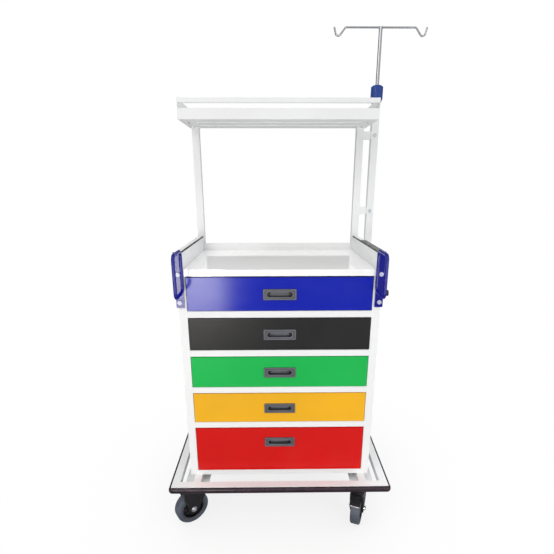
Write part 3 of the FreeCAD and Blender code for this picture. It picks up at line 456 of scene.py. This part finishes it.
# ---------------------------------------------------------------------------
# CAD nodes: real materials, smooth shading and softened edges
# ---------------------------------------------------------------------------
# Radius in mm for the first of these words that a node's name contains
EDGE_RADIUS = {
    "base_frame": 2.2, "face_frame": 0.9, "cabinet_shell": 1.0, "cabinet_runners": 0.4, "worktop": 1.5,
    "side_rail": 1.6, "rail_caps": 0.35, "side_handle": 0.8, "bracket_screws": 1.6, "post": 2.0,
    "shelf_tray": 1.2, "shelf_guard": 1.8, "_front": 1.3, "_tray": 0.35, "_slides": 0.35, "_pull": 0.7,
    "_fork": 1.6, "_axle": 0.9, "_hub": 0.7, "_tyre": 1.0, "_pedal": 1.2, "caster_plates": 0.8,
    "iv_knob": 0.6, "iv_collet": 0.3, "thumb_screw": 1.2,
}
SOFTENED_ANGLE = math.radians(38)    # edges sharper than this are rounded
SMOOTH_DEGREES = 32                  # edges flatter than this are shaded smooth
STRIP_WIDE = 4.2                     # mm that a rail's strip reaches past the rail's inner side
PLATE_THICK = 4.1                    # mm of the caster plates that lies against the frame


def edge_radius(node):
    for word, radius in EDGE_RADIUS.items():
        if word in node:
            return radius * MM
    return 0.0


def soften(item, radius, segments=3):
    bevel = item.modifiers.new("soft_edges", "BEVEL")
    bevel.width = radius
    bevel.segments = segments
    bevel.limit_method = "ANGLE"
    bevel.angle_limit = SOFTENED_ANGLE
    bevel.harden_normals = True


def smooth(mesh, degrees=SMOOTH_DEGREES):
    mesh.polygons.foreach_set("use_smooth", [True] * len(mesh.polygons))
    mesh.set_sharp_from_angle(angle=math.radians(degrees))


def second_material(node, slot, chosen):
    """Give the faces that chosen() picks by their centre a second material."""
    mesh = NODES[node].data
    mesh.materials.append(MATERIALS[slot])
    for face in mesh.polygons:
        if chosen(face.center):
            face.material_index = 1


def paint_parts():
    """Black strips beside the grey ribbed grip, and caster plates painted with the frame."""
    strip_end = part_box("side_rail_right")[0].x + STRIP_WIDE * MM
    second_material("rail_caps", "trim_black", lambda spot: spot.x < strip_end)
    plate_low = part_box("base_frame")[0].z - PLATE_THICK * MM
    second_material("caster_plates", "white_coat", lambda spot: spot.z > plate_low)


def finish_nodes():
    for node, item in NODES.items():
        item.data.materials.clear()
        item.data.materials.append(MATERIALS[SLOT_OF[node]])
        item.data.polygons.foreach_set("material_index", [0] * len(item.data.polygons))
        smooth(item.data)
        radius = edge_radius(node)
        if radius > 0:
            soften(item, radius)


finish_nodes()
paint_parts()


# ---------------------------------------------------------------------------
# Ways to make extra pieces
# ---------------------------------------------------------------------------
MERGE_DISTANCE = 1e-6    # metres
ON_AXIS = 1e-7           # metres
WELD_STEP = 0.0035       # metres between a weld bead's rings
FINE_WELD_STEP = 0.003
BASE_WELD, THIN_WELD = 1.9, 1.5    # bead radii in mm


def circle(radius, count, turn=0.0):
    """Points round a circle about the origin."""
    angles = [turn + math.tau * step / count for step in range(count)]
    return [(radius * math.cos(angle), radius * math.sin(angle)) for angle in angles]


class Piece:
    """A mesh built up from turned, extruded and swept shapes, in metres, in the CAD frame."""

    def __init__(self):
        self.shape = bmesh.new()

    def ring_loft(self, rings, caps=True):
        """Skin a list of closed rings that have the same number of points."""
        rows = [[self.shape.verts.new(point) for point in ring] for ring in rings]
        count = len(rows[0])
        for lower, upper in zip(rows, rows[1:]):
            for index in range(count):
                after = (index + 1) % count
                self.shape.faces.new((lower[index], lower[after], upper[after], upper[index]))
        if caps:
            self.shape.faces.new(list(reversed(rows[0])))
            self.shape.faces.new(rows[-1])

    def turn(self, profile, place, segments=40):
        """Closed solid of revolution about the local z axis from (radius, height) points in mm."""
        rows = []
        for radius, height in profile:
            radius, height = radius * MM, height * MM
            if radius < ON_AXIS:
                rows.append([self.shape.verts.new(place @ Vector((0, 0, height)))] * segments)
                continue
            points = [place @ Vector((x, y, height)) for x, y in circle(radius, segments)]
            rows.append([self.shape.verts.new(point) for point in points])
        for lower, upper in zip(rows, rows[1:] + rows[:1]):
            for index in range(segments):
                after = (index + 1) % segments
                corners = []
                for corner in (lower[index], lower[after], upper[after], upper[index]):
                    if corner not in corners:
                        corners.append(corner)
                if len(corners) > 2:
                    self.shape.faces.new(corners)

    def slab(self, outline, low, high, place):
        """Prism from an outline in local x and y, between two heights, all in mm."""
        self.ring_loft([[place @ (Vector((x, y, level)) * MM) for x, y in outline] for level in (low, high)])

    def bar(self, low, high, place=Matrix()):
        """Box between two corners in mm."""
        outline = [(low[0], low[1]), (high[0], low[1]), (high[0], high[1]), (low[0], high[1])]
        self.slab(outline, low[2], high[2], place)

    def hexagon(self, radius, low, high, place, turn=0.0):
        self.slab(circle(radius, 6, turn), low, high, place)

    def sweep(self, path, radius, sides=8, closed=False, wobble=0.0):
        """Round bead along a path of points in metres; radius in mm."""
        count = len(path)
        rings = []
        for index, point in enumerate(path):
            before = path[(index - 1) % count] if closed or index > 0 else path[index]
            after = path[(index + 1) % count] if closed or index < count - 1 else path[index]
            along = (after - before).normalized()
            across = along.cross(UP if abs(along.z) < 0.9 else Vector((1, 0, 0))).normalized()
            other = along.cross(across)
            size = radius * MM * (1 + wobble * rng.uniform(-1, 1))
            rings.append([point + size * (across * x + other * y) for x, y in circle(1, sides)])
        if closed:
            rings.append(rings[0])
        self.ring_loft(rings, caps=not closed)

    def upright_weld(self, x, y, low, high, radius=THIN_WELD, step=FINE_WELD_STEP, wobble=0.12):
        """Weld bead up a corner, between two heights in metres."""
        self.sweep(bead_path([(x, y, low), (x, y, high)], step), radius, wobble=wobble)

    def done(self, name, body, slot, edge=0.0, segments=2, angle=SMOOTH_DEGREES, paint=None):
        """Finish the piece with the slot's material and attach it to its body; paint names another material
        for its look.
        """
        bmesh.ops.remove_doubles(self.shape, verts=self.shape.verts, dist=MERGE_DISTANCE)
        bmesh.ops.recalc_face_normals(self.shape, faces=self.shape.faces)
        mesh = bpy.data.meshes.new(name)
        self.shape.to_mesh(mesh)
        self.shape.free()
        mesh.materials.append(MATERIALS[paint or slot])
        smooth(mesh, angle)
        item = bpy.data.objects.new(name, mesh)
        bpy.context.scene.collection.objects.link(item)
        if edge > 0:
            soften(item, edge * MM, segments)
        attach(item, body)


def bead_path(points, step, closed=False):
    """Evenly spaced points along straight runs, in metres."""
    found = []
    ends = points[1:] + points[:1] if closed else points[1:]
    for start, stop in zip(points, ends):
        start, stop = Vector(start), Vector(stop)
        count = max(1, int((stop - start).length / step))
        found += [start.lerp(stop, index / count) for index in range(count)]
    if not closed:
        found.append(Vector(points[-1]))
    return found


def frame_at(origin, z_axis, x_hint=(1, 0, 0)):
    """Matrix whose local z is z_axis and whose local x is near x_hint."""
    along = Vector(z_axis).normalized()
    hint = Vector(x_hint)
    if abs(along.dot(hint.normalized())) > 0.95:
        hint = UP
    side = (hint - along * hint.dot(along)).normalized()
    return frame_of(side, along.cross(side), along, origin)


def frame_of(x_axis, y_axis, z_axis, origin):
    matrix = Matrix((x_axis, y_axis, z_axis)).transposed().to_4x4()
    matrix.translation = Vector(origin)
    return matrix


def at(x, y, z):
    """Plain placement, in metres."""
    return Matrix.Translation(Vector((x, y, z)))


def joint_frame(name):
    """Frame at a joint, with its axis as local z."""
    joint = JOINTS[name]
    return frame_at(joint["pos_m"], joint["axis"], UP)


def dome_screw(piece, origin, outward, radius, high, socket=True):
    """Pan head on a surface at origin, plain or with a round socket; sizes in mm."""
    profile = [
        (0, -0.5), (radius, -0.5), (radius, high * 0.35), (radius * 0.86, high * 0.8), (radius * 0.55, high)]
    if socket:
        profile += [(radius * 0.42, high), (radius * 0.40, high * 0.35), (0, high * 0.3)]
    else:
        profile += [(0, high * 1.06)]
    piece.turn(profile, frame_at(origin, outward), 24)


def plan_corners(low, high, inset=0.0):
    """The four corners of a box in plan, in metres."""
    left, right, front, back = low.x + inset, high.x - inset, low.y + inset, high.y - inset
    return [(left, front), (right, front), (right, back), (left, back)]


def rounded_outline(half_x, half_y, radius, steps=6):
    points = []
    for centre_x, centre_y, start in (
            (half_x - radius, half_y - radius, 0), (radius - half_x, half_y - radius, 90),
            (radius - half_x, radius - half_y, 180), (half_x - radius, radius - half_y, 270)):
        for step in range(steps + 1):
            angle = math.radians(start + 90 * step / steps)
            points.append((centre_x + radius * math.cos(angle), centre_y + radius * math.sin(angle)))
    return points


def ring_frame(piece, outer, inner, low, high, place):
    """Flat ring between two outlines of equal length, between two heights."""
    rows = []
    for outline, level in ((outer, low), (outer, high), (inner, high), (inner, low)):
        rows.append([place @ (Vector((x, y, level)) * MM) for x, y in outline])
    piece.ring_loft(rows + [rows[0]], caps=False)


# ---------------------------------------------------------------------------
# Casters: profiles in mm, as (radius, distance along the axle or pivot)
# ---------------------------------------------------------------------------
TYRE_DEEP = 15.5                    # from the tread to the rim
SPOKES = 9
SPOKE_ROOT, SPOKE_FLOOR = 15, 6     # a spoke's inner end, and the web that it stands on
AXLE_NUT, AXLE_NUT_TURN = 8.5, 0.2
WASHER = (4.2, 10.5)                # bore and rim radii of the axle's washers
RIB_OUT = 23.0                      # from the wheel's middle to the fork's outer side
RIB_SHARES = (0, 0.25, 0.5, 0.75, 1)
PLATE_BOLT = (31, 41)               # a caster plate's bolts, across and along from the pivot
PLATE_UNDER = 10.5                  # from the swivel joint up to the plate's underside
PEDAL_GRIPS, PEDAL_GRIP_STEP = 6, 5.2
PEDAL_GRIP_HALF = 14.5
BOLT_HEX = 6.2


def wheel_details(place):
    """Ribbed hub covers, a rim band and two ridges on each side wall."""
    wheel = joint_frame(f"{place}_roll")
    body = f"{place}_wheel"
    rim = wheel.translation.z / MM - TYRE_DEEP
    sides = [wheel @ Matrix.Rotation(turn, 4, "X") for turn in (math.pi, 0)]
    cover = Piece()
    for side in sides:
        cover.turn([(14.2, 6.2), (rim - 8.4, 6.2), (rim - 8.4, 7.6), (14.2, 8.8)], side, 48)
        cover.turn([(12.2, 9), (17.5, 9), (17.5, 12.5), (14.5, 15.2), (12.2, 15.2)], side, 48)
        for spoke in range(SPOKES):
            turned = side @ Matrix.Rotation(math.tau * spoke / SPOKES, 4, "Z")
            rings = []
            for flank in (-1, 1):
                corners = (
                    (SPOKE_ROOT, 1.6, SPOKE_FLOOR), (rim - 8.2, 1.1, SPOKE_FLOOR), (rim - 8.2, 1.1, 10.5),
                    (SPOKE_ROOT, 1.6, 13.5))
                rings.append([
                    turned @ (Vector((reach, flank * half, level)) * MM) for reach, half, level in corners])
            cover.ring_loft(rings)
    cover.done(f"{place}_hub_ribs", body, "hub_black", 0.5)
    trim = Piece()
    ridges = Piece()
    for side in sides:
        trim.turn([
            (rim - 4.6, 14.6), (rim - 0.8, 14.6), (rim - 0.8, 15.5), (rim - 1.9, 16.0), (rim - 4.6, 15.6),
        ], side, 64)
        for reach in (rim + 3.6, rim + 7.4):
            ridges.turn([
                (reach - 0.7, 15.8), (reach + 0.7, 15.8), (reach + 0.35, 16.5), (reach - 0.35, 16.5),
            ], side, 64)
    trim.done(f"{place}_rim_band", body, "bright_steel", paint="rim_steel")
    ridges.done(f"{place}_sidewall_ridges", body, "tyre_grey")


def axle_details(place):
    """Nut with a threaded end, bolt head and two washers."""
    wheel = joint_frame(f"{place}_roll")
    hardware = Piece()
    hardware.hexagon(AXLE_NUT, -27.3, -23.0, wheel, AXLE_NUT_TURN)
    hardware.turn([(0, -29.6), (3.0, -29.6), (3.9, -28.7), (3.9, -27), (0, -27)], wheel, 20)
    for start in (-28.9, -28.2):
        hardware.turn([(3.8, start), (4.15, start + 0.2), (3.8, start + 0.4)], wheel, 20)
    hardware.turn([(0, 26.5), (7.5, 26.5), (7.0, 28.4), (4.6, 29.6), (0, 30.0)], wheel, 28)
    bore, rim = WASHER
    for low, high in ((-23.4, -22.6), (22.6, 23.4)):
        hardware.turn([(bore, low), (rim, low), (rim, high), (bore, high)], wheel, 36)
    hardware.done(f"{place}_axle_hardware", f"{place}_caster", "zinc_steel", 0.35)


def fork_details(place):
    """Pressed ribs down the fork's legs, the swivel's dust cover, and a bright steel strip on the crown's
    front that stands in for its highlight (painted highlight).
    """
    wheel = joint_frame(f"{place}_roll").translation
    spin = Vector(JOINTS[f"{place}_roll"]["axis"])
    pivot = Vector(JOINTS[f"{place}_swivel"]["pos_m"])
    back_way = UP.cross(spin)
    local = frame_of(spin, back_way, UP, (pivot.x, pivot.y, 0))
    trail = -(wheel - Vector((pivot.x, pivot.y, wheel.z))).dot(back_way) / MM
    axle_high = wheel.z / MM
    crown = pivot.z / MM
    rib_runs = (
        (Vector((0, -trail - 26, crown - 16)), Vector((0, -trail - 9, axle_high + 12))),
        (Vector((0, 8, crown - 16)), Vector((0, -trail + 9, axle_high + 12))))
    ribs = Piece()
    for side in (-1, 1):
        out = Vector((side * RIB_OUT, 0, 0))
        for start, stop in rib_runs:
            ribs.sweep([local @ ((out + start.lerp(stop, share)) * MM) for share in RIB_SHARES], 1.5)
    ribs.done(f"{place}_fork_ribs", f"{place}_caster", "fork_black")
    race = Piece()
    race.turn([
        (23.6, crown + 1.6), (26.5, crown + 1.6), (27.4, crown + 2.8), (27.4, crown + 4.4),
        (25.6, crown + 5.4), (25.6, crown + 7.2), (23.6, crown + 7.2),
    ], at(pivot.x, pivot.y, 0), 48)
    race.done(f"{place}_swivel_cover", "cart", "zinc_steel", 0.25)
    # Painted highlight: a bright steel strip across the crown's front, in place of the light caught by its
    # top edge.
    edge = Piece()
    front = -trail - 17.6
    edge.bar((-22.4, front - 0.5, crown - 3.2), (22.4, front + 0.7, crown + 0.2), local)
    edge.done(f"{place}_crown_highlight_strip", f"{place}_caster", "bright_steel", 0.4)


def plate_bolts():
    """Four bolts with washers under each caster plate, each turned its own way."""
    bolts = Piece()
    washers = Piece()
    across, along = PLATE_BOLT
    for place in CASTER_PLACES:
        pivot = Vector(JOINTS[f"{place}_swivel"]["pos_m"])
        under = pivot.z + PLATE_UNDER * MM
        for x in (-across, across):
            for y in (-along, along):
                spot = at(pivot.x + x * MM, pivot.y + y * MM, under)
                washers.turn([(0, -1.1), (7.4, -1.1), (7.4, 0.2), (0, 0.2)], spot, 28)
                bolts.hexagon(BOLT_HEX, -5.0, -1.0, spot, rng.uniform(0, 1))
    bolts.done("plate_bolts", "cart", "zinc_steel", 0.4)
    washers.done("plate_washers", "cart", "zinc_steel", 0.2)


def pedal_details(place):
    """Grip ribs on the pedal's foot, and its worn steel toe."""
    press = JOINTS[f"{place}_brake_press"]
    spin = Vector(press["axis"])
    local = frame_of(spin, UP.cross(spin), UP, press["pos_m"])
    slope = Vector((0, -40, -14)).normalized()
    lift = Vector((0, -14, 40)).normalized()
    ribs = Piece()
    for step in range(PEDAL_GRIPS):
        middle = Vector((0, -6, 5)) + slope * (9 + step * PEDAL_GRIP_STEP)
        rings = []
        for across in (-PEDAL_GRIP_HALF, PEDAL_GRIP_HALF):
            centre = middle + Vector((across, 0, 0))
            corners = ((-1.4, -0.4), (1.4, -0.4), (0.7, 1.1), (-0.7, 1.1))
            rings.append([local @ ((centre + slope * down + lift * out) * MM) for down, out in corners])
        ribs.ring_loft(rings)
    ribs.done(f"{place}_pedal_grips", f"{place}_brake", "fork_black", 0.25)
    toe = Piece()
    toe.bar((-16.6, -46.8, -14.4), (16.6, -45.4, -8.8), local)
    toe.done(f"{place}_pedal_toe", f"{place}_brake", "bright_steel", 0.5)


for caster in CASTER_PLACES:
    wheel_details(caster)
    axle_details(caster)
    fork_details(caster)
plate_bolts()
for caster in BRAKED_PLACES:
    pedal_details(caster)


# ---------------------------------------------------------------------------
# Base, cabinet and drawers
# ---------------------------------------------------------------------------
INNER_RAIL_IN = 4.5        # mm from the front casters' pivots to the middle of the base's inner rails
WORKTOP_RISE = 18 * MM     # from the cabinet's top, where the worktop starts, up to its surface
PANEL_MARGIN = 14          # mm of cabinet left round the back panel
PRESSED_SHARE = 0.36       # half height of a pressed frame, as a share of the panel's
BACK_RIVET = (3.0, 1.5)    # radius and height in mm
SIDE_RIVET = (3.4, 1.3)
FRONT_SCREW = (4.2, 2.2)
SLIDE_SCREW = (3.4, 1.7)
RIVET_INSET = 8            # mm from the back panel's edge
END_INSET = 0.03           # metres from the cabinet's floor, top and corners to the nearest rivets
SIDE_RIVET_INSET = 0.05
FRONT_SCREW_PLACES = (-0.19, -0.07, 0.07, 0.19)
SLIDE_SCREW_SHARES = (0.08, 0.36, 0.64, 0.92)
BALLS, BALL_STEP = 5, 0.0065
SLOT_RIB_STEP = 5.6


def base_details():
    """Weld beads where the base's rails meet its front and back tubes."""
    low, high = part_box("base_frame")
    tube = high.z - low.z
    start, stop = low.z + 1.5 * MM, high.z - 1.5 * MM
    inner = abs(JOINTS["front_left_swivel"]["pos_m"][0]) - INNER_RAIL_IN * MM
    welds = Piece()
    for side in (-1, 1):
        spots = (inner * side - tube / 2, inner * side + tube / 2, (high.x - tube) * side)
        for face in (low.y + tube, high.y - tube):
            for x in spots:
                welds.upright_weld(x, face, start, stop, BASE_WELD, WELD_STEP)
    welds.done("base_welds", "cart", "white_coat", angle=60)


def post_details():
    """Weld beads round the posts, at the worktop and under the shelf."""
    welds = Piece()
    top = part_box("worktop")[0].z + WORKTOP_RISE
    for word in ("left", "right"):
        low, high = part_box(f"post_{word}")
        for level in (top, high.z - 0.6 * MM):
            ring = [(x, y, level) for x, y in plan_corners(low, high)]
            welds.sweep(bead_path(ring, WELD_STEP, closed=True), THIN_WELD, closed=True, wobble=0.12)
    welds.done("post_welds", "cart", "white_coat", angle=60)


def cabinet_details():
    """Riveted back panel with two pressed frames, and rivets along the runners on both sides."""
    low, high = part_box("cabinet_shell")
    rear = high.y
    half_x = (high.x - low.x) / 2 / MM - PANEL_MARGIN
    half_z = (high.z - low.z) / 2 / MM - PANEL_MARGIN
    outward = frame_at((0, rear, (low.z + high.z) / 2), (0, 1, 0))
    panel = Piece()
    panel.slab(rounded_outline(half_x, half_z, 10), -0.4, 1.0, outward)
    panel.done("back_panel", "cart", "white_coat", 0.3)
    stiffener = Piece()
    pressed_x, pressed_z = half_x - 60, half_z * PRESSED_SHARE
    for level in (-0.5, 0.5):
        middle = outward @ Matrix.Translation((0, level * half_z * MM, 0))
        ring_frame(
            stiffener, rounded_outline(pressed_x, pressed_z, 14),
            rounded_outline(pressed_x - 8, pressed_z - 8, 8), 0.8, 2.0, middle)
    stiffener.done("back_panel_press", "cart", "white_coat", 0.6)
    rivets = Piece()
    rivet_x = half_x - RIVET_INSET
    bottom, top = low.z + END_INSET, high.z - END_INSET
    spots = [(side * rivet_x, bottom + (top - bottom) * step / 8) for step in range(9) for side in (-1, 1)]
    spots += [(-rivet_x + rivet_x * 2 * step / 7, level) for step in range(1, 7) for level in (bottom, top)]
    for x, level in spots:
        dome_screw(rivets, (x * MM, rear + 1.0 * MM, level), (0, 1, 0), *BACK_RIVET, socket=False)
    rivets.done("back_rivets", "cart", "zinc_steel")
    side_rivets = Piece()
    for side in (-1, 1):
        for number in DRAWER_NUMBERS:
            slide_low, slide_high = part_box(f"drawer_{number}_slides")
            level = (slide_low.z + slide_high.z) / 2
            for depth in (low.y + SIDE_RIVET_INSET, high.y - SIDE_RIVET_INSET):
                spot = (side * high.x, depth, level)
                dome_screw(side_rivets, spot, (side, 0, 0), *SIDE_RIVET, socket=False)
    side_rivets.done("side_rivets", "cart", "white_coat")


def drawer_details(number):
    """Rolled hem on the tray, screws in its front and sides, and the balls that show at the slides' ends."""
    body = f"drawer_{number}"
    low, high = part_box(f"{body}_tray")
    hem = Piece()
    ring = [(x, y, high.z - 0.2 * MM) for x, y in plan_corners(low, high, 0.6 * MM)]
    hem.sweep(bead_path(ring, 0.05, closed=True), 1.3, 10, closed=True)
    hem.done(f"{body}_hem", body, "white_coat", angle=60)
    screws = Piece()
    screw_level = (low.z + high.z) / 2 + 0.012
    for x in FRONT_SCREW_PLACES:
        dome_screw(screws, (x, low.y + 1.2 * MM, screw_level), (0, 1, 0), *FRONT_SCREW)
    slides_low, slides_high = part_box(f"{body}_slides")
    level = (slides_low.z + slides_high.z) / 2
    for side in (-1, 1):
        for share in SLIDE_SCREW_SHARES:
            spot = (side * (high.x - 1.2 * MM), low.y + (high.y - low.y) * share, level)
            dome_screw(screws, spot, (-side, 0, 0), *SLIDE_SCREW)
    screws.done(f"{body}_screws", body, "zinc_steel")
    balls = Piece()
    for side in (-1, 1):
        for level in (slides_high.z - 0.6 * MM, slides_low.z + 0.6 * MM):
            for step in range(BALLS):
                centre = at(side * (high.x + 6.2 * MM), high.y - 0.012 - BALL_STEP * step, level)
                balls.turn([(0, -1.5), (0.9, -1.2), (1.5, 0), (0.9, 1.2), (0, 1.5)], centre, 12)
    balls.done(f"{body}_slide_balls", body, "bright_steel", angle=80)
    pull_details(number)


def pull_details(number):
    """Raised lips round the slot and the flange in a paler grey that paints their highlight, a pale liner at
    the slot's floor that paints light into its shade, near-black blocks that paint the shade in the slot's
    ends, and ribs.
    """
    body = f"drawer_{number}"
    low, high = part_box(f"{body}_pull")
    outward = frame_at((0, low.y, (low.z + high.z) / 2), (0, -1, 0))
    half_x = (high.x - low.x) / 2 / MM
    half_z = (high.z - low.z) / 2 / MM
    lip = Piece()
    slot_outer, slot_inner = rounded_outline(41.4, 10.4, 10.3, 10), rounded_outline(39.0, 8.05, 8.0, 10)
    ring_frame(lip, slot_outer, slot_inner, -0.4, 0.9, outward)
    flange_outer = rounded_outline(half_x - 1.6, half_z - 1.6, 3)
    flange_inner = rounded_outline(half_x - 3.4, half_z - 3.4, 2)
    ring_frame(lip, flange_outer, flange_inner, -0.3, 0.5, outward)
    # Painted highlight: the lips take the paler grey.
    lip.done(f"{body}_pull_lip", body, "pull_grey", 0.3, paint="pull_edge")
    # Painted light: a thin pale liner at the slot's floor, lighter than its shade would be.
    floor = Piece()
    floor.slab(rounded_outline(29.5, 7.8, 2), -13.9, -13.3, outward)
    floor.done(f"{body}_pull_painted_light_liner", body, "pull_grey", 0.2, paint="pull_edge")
    # Painted shade: near-black blocks fill the slot's ends where shade falls.
    painted_shade_blocks = Piece()
    for start, stop in ((-37.5, -30.5), (30.5, 37.5)):
        painted_shade_blocks.bar((start, -5.2, -13.9), (stop, 5.2, -3.2), outward)
    painted_shade_blocks.done(f"{body}_pull_painted_shade_blocks", body, "thumb_black", 1.5)
    ribs = Piece()
    for step in range(-5, 6):
        ribs.bar((step * SLOT_RIB_STEP - 0.7, -8.0, -15.4), (step * SLOT_RIB_STEP + 0.7, -6.9, -5), outward)
    ribs.done(f"{body}_pull_ribs", body, "pull_grey", 0.2)


base_details()
post_details()
cabinet_details()
for drawer in DRAWER_NUMBERS:
    drawer_details(drawer)


# ---------------------------------------------------------------------------
# Top of the cart and infusion pole
# ---------------------------------------------------------------------------
SHELF_SCREW = (3.6, 2.0)
STIFFENER_SHARES = (0.34, 0.68)    # depths of the shelf's two stiffeners, as shares of its own
STIFFENER_END, STIFFENER_HALF = 45, 9
GUARD_WELD = (13, 1.5)             # mm from the guard's top to the bead's ends
LOOP_OUT = 6.2                     # mm from the handle plate's inner side to the loop's bead
LOOP_WELD_HALF = 0.009
STOP_ABOVE = 22                    # mm from the thumb screw up to the rubber stop
GRIPS = 16
POST_HALF = 12.5                   # mm from the pole tube's middle to its faces
RAISED_BOLT = 0.148                # metres from the worktop up to the middle bracket's bolt
TOP_WELD_OUT, TOP_WELD_RADIUS = 6.0, 3.6


def shelf_details():
    """Screws under the shelf, two stiffeners across it, and the guard's weld beads."""
    low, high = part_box("shelf_tray")
    screws = Piece()
    for word, side in (("left", -1), ("right", 1)):
        post_low, post_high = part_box(f"post_{word}")
        outer = max(abs(post_low.x), abs(post_high.x))
        for depth in (post_low.y - 0.014, post_low.y - 0.11):
            dome_screw(screws, (side * (outer - 0.012), depth, low.z), (0, 0, -1), *SHELF_SCREW)
    screws.done("shelf_screws", "cart", "zinc_steel")
    stiffeners = Piece()
    left, right, under = low.x / MM + STIFFENER_END, high.x / MM - STIFFENER_END, low.z / MM
    for share in STIFFENER_SHARES:
        depth = (low.y + (high.y - low.y) * share) / MM
        front, back = depth - STIFFENER_HALF, depth + STIFFENER_HALF
        stiffeners.bar((left, front, under - 2.2), (right, back, under + 0.5))
    stiffeners.done("shelf_stiffeners", "cart", "white_coat", 0.9, 3)
    welds = Piece()
    guard_low, guard_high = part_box("shelf_guard")
    start, stop = (guard_high.z - drop * MM for drop in GUARD_WELD)
    for side in (-1, 1):
        welds.upright_weld(side * (guard_high.x - 2 * MM), guard_low.y + 14 * MM, start, stop)
    welds.done("guard_welds", "cart", "white_coat", angle=60)


def handle_details():
    """Weld beads of the hand loops, the rubber stop beside the right one and the thumb screw's grips."""
    for word, side in (("left", -1), ("right", 1)):
        low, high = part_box(f"side_handle_{word}")
        x = side * (min(abs(low.x), abs(high.x)) + LOOP_OUT * MM)
        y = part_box(f"side_rail_{word}")[0].y - 5.3 * MM
        welds = Piece()
        for level in (low.z + 0.073, high.z - 0.035):
            welds.upright_weld(x, y, level - LOOP_WELD_HALF, level + LOOP_WELD_HALF, wobble=0.15)
        welds.done(f"{word}_loop_welds", "cart", "handle_blue", angle=60)
    stop = Piece()
    cabinet_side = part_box("cabinet_shell")[1].x
    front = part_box("face_frame")[0].y
    screw = joint_frame("thumb_screw_turn")
    place = frame_at((cabinet_side, front + 12 * MM, screw.translation.z + STOP_ABOVE * MM), (1, 0, 0))
    stop.turn([(0, -0.5), (7.2, -0.5), (7.2, 2), (6.4, 6), (5.8, 14), (4.2, 17.4), (0, 18.2)], place, 28)
    stop.done("right_rubber_stop", "cart", "thumb_black")
    knurl = Piece()
    for step in range(GRIPS):
        turned = screw @ Matrix.Rotation(math.tau * step / GRIPS, 4, "Z")
        knurl.bar((8.6, -0.8, 12.5), (9.5, 0.8, 22.5), turned)
    knurl.done("thumb_screw_grip", "thumb_screw", "thumb_black", 0.3)


def bracket_bolt(bolts, place, radius, high, turn):
    """Hexagon head on a washer."""
    bolts.turn([(0, -0.3), (6.4, -0.3), (6.4, 0.9), (0, 0.9)], place, 28)
    bolts.hexagon(radius, 0.8, high, place, turn)


def pole_details():
    """Plug and bolts of the pole's tube, the weld at the cross bar and the knob's top ring."""
    low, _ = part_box("iv_post")
    centre = Vector(JOINTS["iv_pole_turn"]["pos_m"])
    plug = Piece()
    under = frame_at((centre.x, centre.y, low.z), (0, 0, -1))
    plug.slab(rounded_outline(12.4, 12.4, 3), -4, 1.6, under)
    plug.slab(rounded_outline(9.5, 9.5, 3), 1.4, 2.4, under)
    plug.done("pole_tube_plug", "cart", "collet_black", 0.6)
    bolts = Piece()
    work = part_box("cabinet_shell")[1].z + WORKTOP_RISE
    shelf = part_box("shelf_tray")[0].z
    for level in (low.z + 0.04, work + RAISED_BOLT, shelf - 0.026):
        front = frame_at((centre.x, centre.y - POST_HALF * MM, level), (0, -1, 0))
        bracket_bolt(bolts, front, 5.2, 4.4, 0.3)
        back = frame_at((centre.x, centre.y + POST_HALF * MM, level), (0, 1, 0))
        bracket_bolt(bolts, back, 5.6, 4.0, 0.1)
    bolts.done("pole_bracket_bolts", "cart", "zinc_steel", 0.4)
    bar_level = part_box("iv_pole")[1].z - 3 * MM
    welds = Piece()
    for side in (-1, 1):
        x = centre.x + side * TOP_WELD_OUT * MM
        ring = [Vector((x, centre.y + a, bar_level + b)) for a, b in circle(TOP_WELD_RADIUS * MM, 16)]
        welds.sweep(ring, 1.1, 6, closed=True)
    welds.done("pole_top_welds", "iv_pole", "pole_steel", angle=60)
    knob_top = at(centre.x, centre.y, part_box("iv_knob")[1].z - 0.2 * MM)
    ring = Piece()
    ring.turn([(8.0, 0), (16.5, 0), (16.5, 0.8), (15.5, 1.6), (9.0, 1.6), (8.0, 0.8)], knob_top, 36)
    ring.done("knob_top_ring", "iv_knob", "knob_blue")


shelf_details()
handle_details()
pole_details()
